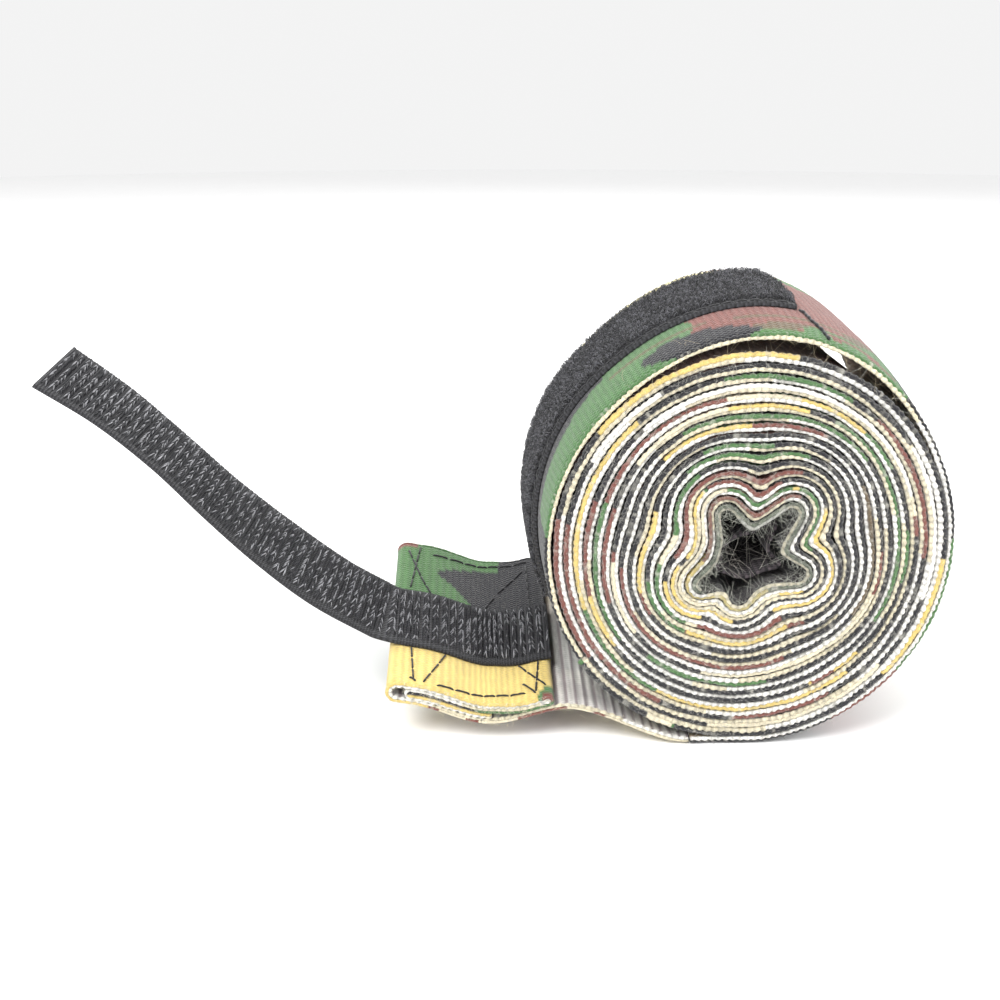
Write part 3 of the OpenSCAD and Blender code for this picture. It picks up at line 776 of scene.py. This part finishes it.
def wound_top(s, v):
    """The print on the tight turns; the part seen under the lifted last turn is khaki and brown, darkened as
    painted shadow in the gap.
    """
    rgb = camo(s, v)
    under = (s > np.interp(TURNS - 0.8, WU, WS)) & (s < np.interp(TURNS - 0.44, WU, WS))
    # painted shadow: khaki and brown at 0.6 to 0.7 of their brightness under the lifted last turn
    patch = np.where((noise(s / 9, v / 6) > 0.5)[..., None], BROWN * 0.6, KHAKI * 0.7)
    return np.where(under[..., None], patch, rgb)


def last_low(s, v):
    """Underside of the last turn, darkened as painted shade under the lifted turn and tinted tan."""
    tan = srgb(178, 150, 106) * (0.75 + 0.5 * noise(s / 4, v / 3)[..., None])
    # painted shade: the pale underside is cut to a third and mixed with dull tan
    return underside(s, v) * 0.3 + tan * 0.6


L_WOUND, L_LAST = WS[-1], LS[-1]
S_LAST, S_TAIL = L_WOUND, L_WOUND + L_LAST

# the wound turns
s = np.arange(0, L_WOUND, 0.8)
roll = cloth("roll_cloth", on_wound, s, 1, wound_top, underside, 0.0, 0.9, 8.0, ends=0.55)
near_print, near_white = [], []
cuts = [0, 640, 1300, 1920, L_WOUND]
for i in range(4):
    s = np.arange(cuts[i], min(cuts[i + 1] + 0.3, L_WOUND), 0.27)
    pitch = local_pitch(s)
    near_print.append(edge_strand("roll_near_print_%d" % (i + 1), on_wound, s, -0.02, 0.24 * pitch / 1.4,
                                  0.27 * pitch, edge_rgb(wound_rgb(s, 0 * s), s, 0.45, 1.0), 0.07, 0.3))
    near_white.append(edge_strand("roll_near_core_%d" % (i + 1), on_wound, s, 0.06, -0.27 * pitch / 1.4,
                                  0.26 * pitch, edge_rgb(core_rgb(s, 40.0), s, 0.5, 9.0, 0.4), 0.2, 0.3))
s = np.arange(0, L_WOUND, 0.5)
pitch = local_pitch(s)
far_print = edge_strand("roll_far_print", on_wound, s, STRIP_W - 0.1, 0.22 * pitch / 1.4, 0.25 * pitch,
                        edge_rgb(camo(s, 0 * s + 49), s, 0.5, 5.0), 0.05, 0.3, 5)
far_white = edge_strand("roll_far_core", on_wound, s, STRIP_W, -0.27 * pitch / 1.4, 0.28 * pitch,
                        edge_rgb(core_rgb(s, 70.0), s, 0.55, 7.0, 0.4), 0.18, 0.3, 5)

# the last turn
def last_top(s, v):
    a = np.interp(s - S_LAST, LS, LA)
    rgb = blobs(camo(s, v), a, v, LAST_BLOBS)
    dots = (np.abs(v - 7.6 - 0.02 * (a - 100)) < 0.45) & (a > 62) & (a < 130)
    rgb[dots] = np.where((np.sin(2 * np.pi * s / 1.7) > 0)[dots, None], KHAKI, srgb(96, 88, 60))
    return rgb


s = np.arange(0, L_LAST, 0.31)
last = cloth("last_turn_cloth", on_last, s, 1, last_top, last_low, S_LAST, 0.98, 1.0, 0.035)
s = np.arange(0, L_LAST, 0.25)
a = np.interp(s, LS, LA)
near_rgb, far_rgb = (blobs(camo(s + S_LAST, 0 * s + v), a, 0 * s + v, LAST_BLOBS) for v in (0, 50))
under_rgb = np.where((a > 40)[:, None], srgb(238, 228, 196), WHITE)
last_edges = [edge_strand("last_" + name, on_last, s, v0, n0, r, edge_rgb(rgb, s, 0.5, seed, bead_shade), bead, wander,
                          s_off=S_LAST)
              for name, v0, n0, r, rgb, seed, bead_shade, bead, wander in (
                  ("near_print", 0.12, 0.24, 0.36, near_rgb, 2.0, 0.0, 0.1, 0.15),
                  ("near_core", 0.02, -0.26, 0.4, under_rgb, 4.0, 0.35, 0.24, 0.2),
                  ("far_print", STRIP_W - 0.12, 0.24, 0.36, far_rgb, 3.0, 0.0, 0.1, 0.15),
                  ("far_core", STRIP_W, -0.26, 0.4, WHITE + 0 * s[:, None], 6.0, 0.0, 0.24, 0.2))]

# the sewn end, folded in four
C0 = STRIP_T / 2
PATH = run(-9.0, FOLD_X, C0) + bend(FOLD_X, C0 + 1.5 * LAY, 1.5 * LAY, -1, -90, 90) \
    + run(FOLD_X, HEM_X, C0 + 3 * LAY, True) + bend(HEM_X, C0 + 1.5 * LAY, LAY / 2, 1, 90, -90) \
    + run(HEM_X, INNER_X, C0 + 2 * LAY, True) + bend(INNER_X, C0 + 1.5 * LAY, LAY / 2, -1, 90, -90) \
    + run(INNER_X, CUT_X, C0 + LAY)
on_end, L_END = tail_path(PATH)
q_fold0 = 64.0 - 9.0
q_fold1 = q_fold0 + math.pi * 1.5 * LAY
q_hem0 = q_fold1 + (HEM_X - FOLD_X)
q_hem1 = q_hem0 + math.pi * LAY / 2
q_in0 = q_hem1 + (HEM_X - INNER_X)
SPLIT = 39.0          # distance along the end at which the cloth passes from the roll to the flap


def end_top(s, v):
    q = s - S_TAIL
    rgb = np.where((v < 17)[..., None], YELLOW, GREEN) + 0 * camo(s, v)
    low = (q < q_fold0 - 6)
    rgb[low] = camo(s, v)[low]
    near_low = low & (v < 8)
    rgb[near_low] = np.where((noise(q / 2.4, 60.0) > 0.52)[near_low, None], BROWN, CREAM)
    x = FOLD_X + (q - q_fold1)
    on_top = (q > q_fold1 - 3) & (q < q_hem1)
    rgb = np.where(on_top[..., None], blobs(rgb, x, v, FLAP_BLOBS), rgb)
    hem = (q > q_hem0 - 0.6) & (q < q_hem1) & (v < 2.8)
    rgb[hem] = GREEN
    rgb[hem & (np.abs(q - q_hem0 - 0.2) < 0.8) & (v < 1.4)] = BROWN
    under = (q >= q_hem1) & (q < q_in0 + 1)
    rgb[under] = np.where((q < q_hem1 + 15)[under, None], GREEN, BLACK)
    inner = q >= q_in0 + 1
    rgb[inner] = YELLOW
    return rgb


def end_low(s, v):
    q = s - S_TAIL
    rgb = underside(s, v)
    tan = (clamp((v - 30) / 12) * (q < 30))[..., None]
    return rgb * (1 - 0.5 * tan) + srgb(214, 196, 140) * 0.5 * tan


def end_piece(name, q0, q1):
    s = np.arange(q0, q1, 0.28)
    s = np.append(s[:-1], q1)
    body = cloth(name + "_cloth", on_end, s, -1, end_top, end_low, S_TAIL, 0.98, 1.0, 0.035)
    s = np.append(np.arange(q0, q1, 0.22)[:-1], q1)
    out = [body]
    for side, v0 in (("near", 0.12), ("far", STRIP_W - 0.12)):
        rgb = end_top(s + S_TAIL, 0 * s + v0)
        out.append(edge_strand("%s_%s_print" % (name, side), on_end, s, v0, -0.24, 0.36,
                               edge_rgb(rgb, s, 0.5, 2.0), 0.1, 0.12, s_off=S_TAIL))
        pale = np.where((noise(s / 20, 77.0) > 0.3)[:, None], WHITE, CREAM)
        out.append(edge_strand("%s_%s_core" % (name, side), on_end, s, v0 * 0.999, 0.27, 0.33,
                               edge_rgb(pale, s, 0.5, 4.0, 0.35), 0.24, 0.16, s_off=S_TAIL))
    return out


tail = end_piece("tail", 0.0, SPLIT)
flap = end_piece("flap", SPLIT, L_END)

# ---- the thumb loop's tape in the core --------------------------------------------------------------
TA = np.linspace(0, 360, 241)[:-1]
TR = star_r(TA, THUMB_C, 0.7, 3.6, 3)
TP = in_core(TA, TR, 0.0)
TN = unit((np.roll(TP, -1, 0) - np.roll(TP, 1, 0)))
TN = np.stack([TN[:, 1], -TN[:, 0]], -1)
TS = np.concatenate([[0], np.cumsum(np.linalg.norm(np.diff(TP, axis=0), axis=1))])


def on_thumb(i, y, n):
    i, y, n = np.broadcast_arrays(i, y, n)
    j = np.asarray(i) % len(TA)
    f, c = np.floor(j).astype(int), (np.floor(j).astype(int) + 1) % len(TA)
    w = (j - f)[..., None]
    p = TP[f] * (1 - w) + TP[c] * w
    m = TN[f] * (1 - w) + TN[c] * w
    return np.stack([p[..., 0] + n * m[..., 0], y, p[..., 1] + n * m[..., 1]], -1)


ys = NEAR_Y + THUMB_IN + np.linspace(0, THUMB_W, 60)
yy = np.concatenate([ys, ys[::-1]])
sg = np.concatenate([np.ones(60), -np.ones(60)])
I, Y = np.meshgrid(np.arange(240), yy, indexing="ij")
S_T = np.broadcast_to(TS[:, None], I.shape)
rel = 0.05 * np.sin(2 * np.pi * S_T / 1.1) + 0.03 * np.sin(2 * np.pi * (Y / 0.8 + np.floor(S_T / 1.1) / 2))
rim = THUMB_W / 2 - np.abs(Y - NEAR_Y - THUMB_IN - THUMB_W / 2)
N = sg * (THUMB_T / 2 + rel * (rim > 0.3) - 0.1 * (rim <= 0.3))
rgb = np.broadcast_to(srgb(52, 46, 48), (*I.shape, 3))
thumb = sweep("thumb_tape", on_thumb(I, Y, N)[::-1], rgb, np.stack([S_T, Y], -1)[::-1], THUMB, ring=True)


def dashes(name, on, lines, radius, rgb, mat, step=2.3, dip=0.55):
    """Rows of sewn stitches: each line is (start, end) in the two coordinates of on(a, b, height)."""
    paths, radii = [], []
    for (a0, b0), (a1, b1), length, lift in lines:
        count = max(1, int(round(length / step)))
        for k in range(count):
            t = (k + np.linspace(0.04, 0.96, 9)) / count
            stray = rng.normal(0, 0.06, 2)[0] * np.sin(np.pi * np.linspace(0, 1, 9))
            h = lift + radius * 0.9 - dip * (np.abs(np.linspace(-1, 1, 9)) ** 6)
            paths.append(on(a0 + (a1 - a0) * t, b0 + (b1 - b0) * t + stray, h))
            radii.append(radius * (1 + 0.1 * np.sin(np.linspace(0, 9, 9))))
    return tubes(name, np.array(paths), np.array(radii), np.broadcast_to(rgb, (len(paths), 3)), mat, 6)


on_thumb_out = lambda i, y, n: on_thumb(i * 240 / 360, y, -n * 1.0 - 0.45)
thumb_stitch = dashes("thumb_stitches", on_thumb_out,
                      [((a, y), (a, y + 2.4), 2.4, 0.0) for a in (176, 184) for y in np.arange(-20, -2, 3.0)],
                      0.14, INK, THREAD, 2.4)

# ---- the loop patch ---------------------------------------------------------------------------------
PA0, PA1 = START_A - 12.5, PATCH_END
mm_per_deg = math.radians(1) * 38.0
P_LEN = (PA0 - PA1) * mm_per_deg


def on_patch(q, v, n):
    return on_last_a(PA0 - q / mm_per_deg, v, n)


q = np.linspace(0, P_LEN, int(P_LEN / 0.3))
PATCH_FAR = PATCH_IN + PATCH_W
pv = np.concatenate([np.linspace(PATCH_IN, PATCH_FAR, 70), np.linspace(PATCH_FAR, PATCH_IN, 12)])
Q, V = np.meshgrid(q, pv, indexing="ij")
up = np.concatenate([np.ones(70), np.zeros(12)])
rim = np.minimum(V - PATCH_IN, PATCH_FAR - V)
cords = 0.09 * np.sin(2 * np.pi * Q / 0.95) * np.sin(2 * np.pi * (V - PATCH_IN) / 0.9) * (rim < 2.2)
N = STRIP_T / 2 + 0.1 + up * (0.75 * ease(rim / 0.35 + 0.25) + cords + 0.25 * ease((rim - 1.8) / 0.6))
corner = 2.6 * clamp((V - PATCH_IN - 12) / 14) ** 2 - 1.2 * clamp((8 - V + PATCH_IN) / 8)
Qc = np.minimum(Q, P_LEN - np.maximum(corner, 0))
rows = on_patch(Qc, V, N)
patch_tint = np.broadcast_to(srgb(40, 40, 44), (*Q.shape, 3))
patch = sweep("loop_tape", rows, patch_tint, np.stack([Q, V], -1), LOOP_EDGE)


def pile(name, count, seed):
    g = np.random.default_rng(seed)
    q = g.random(count) * (P_LEN - 0.8) + 0.4
    v = PATCH_IN + 1.9 + g.random(count) * (PATCH_W - 3.8)
    keep = q < P_LEN - 0.4 - 2.6 * clamp((v - PATCH_IN - 12) / 14) ** 2
    q, v = q[keep], v[keep]
    m = len(q)
    t = np.linspace(0, 1, 6)
    phi = g.random(m) * 2 * np.pi
    span, height = 0.35 + 0.95 * g.random(m), 0.35 + 0.75 * g.random(m)
    curl = g.normal(0, 0.28, (m, 1))
    along_t = span[:, None] * (t - 0.5)
    across = curl * np.sin(np.pi * t) + g.normal(0, 0.08, (m, 6))
    dq = along_t * np.cos(phi)[:, None] - across * np.sin(phi)[:, None]
    dv = along_t * np.sin(phi)[:, None] + across * np.cos(phi)[:, None]
    h = STRIP_T / 2 + 1.0 + height[:, None] * np.sin(np.pi * t) ** 0.8
    r = np.full((m, 6), 0.048) * (0.8 + 0.4 * g.random((m, 1)))
    lit = np.where(g.random((m, 1)) < 0.7, srgb(34, 34, 37), srgb(98, 98, 104)) * (0.7 + 0.6 * g.random((m, 1)))
    return tubes(name, on_patch(q[:, None] + dq, v[:, None] + dv, h), r, lit, PILE, 3)


piles = [pile("loop_pile_%d" % i, 7600, 100 + i) for i in (1, 2, 3)]

edge_lines = []
for v in (PATCH_IN + 1.05, PATCH_FAR - 1.05):
    edge_lines.append(((0.8, v), (P_LEN - 1.2, v), P_LEN - 2, STRIP_T / 2 + 0.82))
patch_stitch = dashes("patch_stitches", on_patch, edge_lines, 0.17, INK, THREAD, 2.2)
end_q = lambda v: (PA0 - (PATCH_END - 5.5 + 5 * v / PATCH_IN)) * mm_per_deg
t = np.linspace(0, 1, 40)
ve = 0.6 + (PATCH_IN - 0.6) * t
pe = on_patch(end_q(ve) + 0.35 * np.sin(9 * t) * t, ve, STRIP_T / 2 + 0.2 + 0.05 * np.sin(30 * t))
patch_end = tubes("patch_end_stitch", pe[None], np.full((1, 40), 0.28) * (1 + 0.2 * np.sin(50 * t)), INK[None],
                  THREAD, 7)

# ---- stitching on the flap ---------------------------------------------------------------------------
on_flap = lambda x, v, n: on_tail(x, v, STACK_T + n - settle(x))
v1, v2 = STRAP_IN + 0.2, STRAP_IN + STRAP_W - 0.2
near_lines = [((-57.8, 1.4), (-38.5, 2.8), 20, 0.0), ((-61.4, 1.6), (-62.2, v1), 10, 0.0),
              ((-36.7, 2.4), (-35.9, v1), 9, 0.0), ((-59.8, 1.2), (-56.2, v1), 11, 0.0),
              ((-34.9, 3.6), (-39.7, v1), 10, 0.0), ((-36.7, 1.9), (-39.1, 5.8), 4.8, 0.14),
              ((-62.2, 2.2), (-60.9, 1.3), 1.6, 0.0)]
stitch_near = dashes("flap_stitches_near", on_flap, near_lines, 0.19, INK, THREAD, 3.4, 0.45)
far_lines = [((-59.4, 46.4), (-36.5, 48.2), 24, 0.0), ((-64.2, 46.8), (-59.2, v2 + 0.6), 17, 0.0),
             ((-61.5, 49.0), (-63.2, v2 + 2), 17, 0.0), ((-36.8, v2), (-37, 47), 16, 0.0),
             ((-43.7, 37), (-37.6, 45), 10, 0.0), ((-48, v2), (-44.5, 35.5), 6, 0.0)]
stitch_far = dashes("flap_stitches_far", on_flap, far_lines, 0.19, INK, THREAD, 3.4, 0.45)

# ---- the hook strap -----------------------------------------------------------------------------------
HALF = STRAP_W / 2


def strap_piece(name, q0, q1):
    q = np.append(np.arange(q0, q1, 0.24)[:-1], q1)
    v = np.concatenate([np.linspace(-HALF, HALF, 64), np.linspace(HALF, -HALF, 12)])
    Q, V = np.meshgrid(q, v, indexing="ij")
    rim = HALF - np.abs(V)
    top = np.concatenate([np.ones(64), np.zeros(12)])
    cords = 0.07 * np.sin(2 * np.pi * Q / 0.62) + 0.04 * np.sin(2 * np.pi * (V / 0.62 + np.floor(Q / 0.62) / 2))
    groove = -0.28 * (np.abs(((Q % HOOK_ROW) / HOOK_ROW) - 0.02) < 0.09) * (rim > 1.5)
    N = np.where(top > 0, -0.02 + cords + groove - 0.25 * (rim < 0.1), -0.78 + 0.12 * (rim < 0.1)) \
        - 0.03 * (rim < 1.4)
    tint = np.broadcast_to(srgb(46, 46, 49), (*Q.shape, 3))
    tape = sweep(name + "_tape", on_hook(Q, V, N), tint, np.stack([Q, V], -1), TAPE)
    # rows of little hooks, two columns to a row, leaning toward each other
    g = np.random.default_rng(int(q0 * 10) + 7)
    rows = np.arange(math.floor(q0 / HOOK_ROW), math.ceil(q1 / HOOK_ROW) + 1) * HOOK_ROW
    cols = np.arange(-HALF + 1.8, HALF - 1.7, 0.72)
    R, C, K = np.meshgrid(rows, cols, [-1, 1], indexing="ij")
    R, C, K = R.ravel(), C.ravel(), K.ravel()
    m = len(R)
    wild = g.random(m) < 0.08
    t = np.linspace(0, 1, 7)
    q_base = R + K * 0.46 + g.normal(0, 0.05, m)
    lean = np.where(wild, g.normal(0, 0.7, m), g.normal(0.12, 0.1, m))
    reach = 0.62 + g.normal(0, 0.06, m)
    dq = -K[:, None] * 0.34 * np.sin(np.pi * t * 0.75) + 0.05 * g.normal(0, 1, (m, 1)) * t
    dv = reach[:, None] * (t - 0.25) + lean[:, None] * t * t
    h = 0.82 * np.sin(np.pi * np.minimum(t * 0.86 + 0.02, 1)) ** 0.85 - 0.05
    r = np.tile(0.1 * (1 - 0.35 * t), (m, 1))
    keep = (q_base > max(q0, 0.3)) & (q_base < min(q1, STRAP_END - 0.3))
    pts = on_hook(np.clip(q_base[:, None] + dq, 0.05, STRAP_END - 0.05), C[:, None] + dv,
                  h[None])
    # painted highlight: about a third of the hooks are coloured light grey to stand in for glints on the nylon
    rgb = np.where(g.random((m, 1)) < 0.35, srgb(148, 148, 152), srgb(44, 44, 48))
    rgb = rgb * (0.75 + 0.5 * g.random((m, 1)))
    hooks = tubes(name + "_hooks", pts[keep], r[keep], rgb[keep], HOOKS, 4)
    return [tape, hooks]


def q_of(k):
    return BASE_LEN + JOIN + (k - ROOT_K) * STEP_K


SEWN_LEN = BASE_X + 58.0      # the sewn tape, up to where it starts to bend with the root hinge
cuts = [0.0, SEWN_LEN] + [q_of(k) for k in (0.5, 1.5, 2.5, 3.5, 4.5, 5.5, 6.0)]
strap = [strap_piece("strap_%d" % i, cuts[i], cuts[i + 1]) for i in range(8)]

# ---- loose fibres --------------------------------------------------------------------------------------
def wisps(name, base, aim, length, curl, radius, rgb, seed, points=7):
    g = np.random.default_rng(seed)
    m = len(base)
    t = np.linspace(0, 1, points)[None, :, None]
    c1, c2 = g.normal(0, curl, (m, 1, 3)), g.normal(0, curl, (m, 1, 3))
    p = base[:, None] + length[:, None, None] * (aim[:, None] * t + c1 * t * t + c2 * np.sin(2.6 * t) * t)
    r = np.broadcast_to(radius * (1 - 0.5 * t[..., 0]), (m, points))
    return tubes(name, p, r, rgb, FUZZ, 3)


g = np.random.default_rng(5)
m = 5200
fs = L_WOUND * g.random(m) ** 0.85
base = on_wound(fs, -0.25 + 0.2 * g.random(m), 0.55 * g.normal(0, 1, m))
aim = np.stack([g.normal(0, 0.8, m), -0.35 - 0.5 * g.random(m), g.normal(0, 0.8, m)], -1)
tone = np.where((g.random(m) < 0.75)[:, None], srgb(196, 194, 186), srgb(92, 96, 90))
face_fuzz = wisps("face_fuzz", base, unit(aim), 0.7 + 1.3 * g.random(m), 0.5, 0.024, tone, 6)

m = 1100
fs = 120 * g.random(m)
base = on_wound(fs, -0.2 + 1.5 * g.random(m), -0.5 + 0.3 * g.normal(0, 1, m))
aim = np.stack([g.normal(0, 1, m), -0.15 - 0.4 * g.random(m), g.normal(0, 1, m)], -1)
core_fuzz = wisps("core_fuzz", base, unit(aim), 0.7 + 1.1 * g.random(m), 0.7, 0.026,
                  srgb(176, 178, 166) + 0 * base, 7)

m = 70
ti = g.random(m) * 240
base = on_thumb(ti, NEAR_Y + THUMB_IN + 12 * g.random(m), -THUMB_T / 2 - 0.05 + 0 * ti)
inward = on_thumb(ti, 0 * ti, -1.0 + 0 * ti) - on_thumb(ti, 0 * ti, 0 * ti)
aim = unit(inward + g.normal(0, 0.9, (m, 3)))
hole_fuzz = wisps("hole_fuzz", base, aim, 2.0 + 2.6 * g.random(m), 0.7, 0.045,
                  srgb(150, 146, 138) + 0 * base, 8)

m = 150
ga = 30 + 105 * g.random(m)
base = on_last_a(ga, 0.3 + 3.5 * g.random(m), -0.5 + 0 * ga)
aim = np.stack([g.normal(0, 0.7, m), -0.2 * g.random(m), -0.9 - 0.2 * g.random(m)], -1)
gap_fuzz = wisps("gap_fuzz", base, unit(aim), 0.8 + 2.0 * g.random(m), 0.7, 0.026,
                 srgb(214, 200, 168) + 0 * base, 9)

m = 1500
es = g.random(m) * (L_END - 8)
ev = np.where(g.random(m) < 0.5, -0.1, STRIP_W + 0.1)
base = on_end(es, ev, 0.45 * g.normal(0, 1, m))
aim = np.stack([g.normal(0, 0.7, m), np.sign(ev - 25) * (0.5 + 0.4 * g.random(m)), g.normal(0, 0.6, m)], -1)
tone = srgb(226, 218, 190) + 0 * base
tail_fuzz, flap_fuzz = (wisps(name, base[part], unit(aim[part]), 0.4 + 0.6 * g.random(part.sum()), 0.4, 0.024,
                              tone[part], seed)
                        for name, part, seed in (("tail_fuzz", es < SPLIT - 1.0, 10),
                                                 ("flap_fuzz", es > SPLIT + 1.0, 11)))

# ---- what moves with what -------------------------------------------------------------------------------
m3 = lambda p: tuple(float(c) * MM for c in np.asarray(p).reshape(-1)[:3])

for ob in [roll, last, thumb, thumb_stitch, patch, patch_stitch, patch_end, far_print, far_white, face_fuzz,
           core_fuzz, hole_fuzz, gap_fuzz] + near_print + near_white + last_edges + piles:
    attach(ob, "roll")
for ob in flap + [stitch_near, stitch_far, flap_fuzz] + strap[0]:
    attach(ob, "flap")
b0, b1 = on_tail(-29.4, 25.0, 0.5), on_tail(-33.6, 25.0, 0.5)
for ob in tail + [tail_fuzz]:
    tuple(m3(b0))
    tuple(m3(b1))
    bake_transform(ob)
for ob in strap[1]:
    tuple(m3(on_hook(q_of(-0.32), 0, 0)))
    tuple(m3(on_hook(q_of(0.32), 0, 0)))
    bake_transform(ob)
for j in range(2, 7):
    lo, hi = on_hook(q_of(j - 1 - 0.35), 0, 0), on_hook(q_of(j - 1 + 0.35), 0, 0)
    for ob in strap[j]:
        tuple(m3(lo))
        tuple(m3(hi))
        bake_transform(ob)
for ob in strap[7]:
    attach(ob, "strap_6")

for ob, stands_for in ((roll, ["wound_turns"]), (last, ["outer_turn"]), (tail[0], ["tail_run"]),
                       (flap[0], ["flap_lower", "flap_upper", "end_hem"]), (thumb, ["thumb_loop"]),
                       (thumb_stitch, ["thumb_thread"]), (patch, ["loop_patch"]),
                       (patch_stitch, ["patch_edge_thread"]), (patch_end, ["patch_end_thread"]),
                       (stitch_near, ["flap_thread_near"]), (stitch_far, ["flap_thread_far"])):
    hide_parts(*stands_for)
for j in range(7):
    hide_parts("strap_%d" % j if j else "strap_base")

strip_obs = [roll, last, far_print, far_white, face_fuzz, core_fuzz, gap_fuzz, tail_fuzz, flap_fuzz]
strip_obs += near_print + near_white + last_edges + tail + flap
for slot, obs in (("printed_cloth", strip_obs), ("loop_tape", [patch] + piles),
                  ("thumb_tape", [thumb, hole_fuzz]),
                  ("thread", [thumb_stitch, patch_stitch, patch_end, stitch_near, stitch_far]),
                  ("hook_tape", [ob for pair in strap for ob in pair])):
    for ob in obs:
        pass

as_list(tail[1:])
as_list(flap[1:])

json.dumps([[[float(c) for c in p] for p in box] for box in (cad_box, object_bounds())])
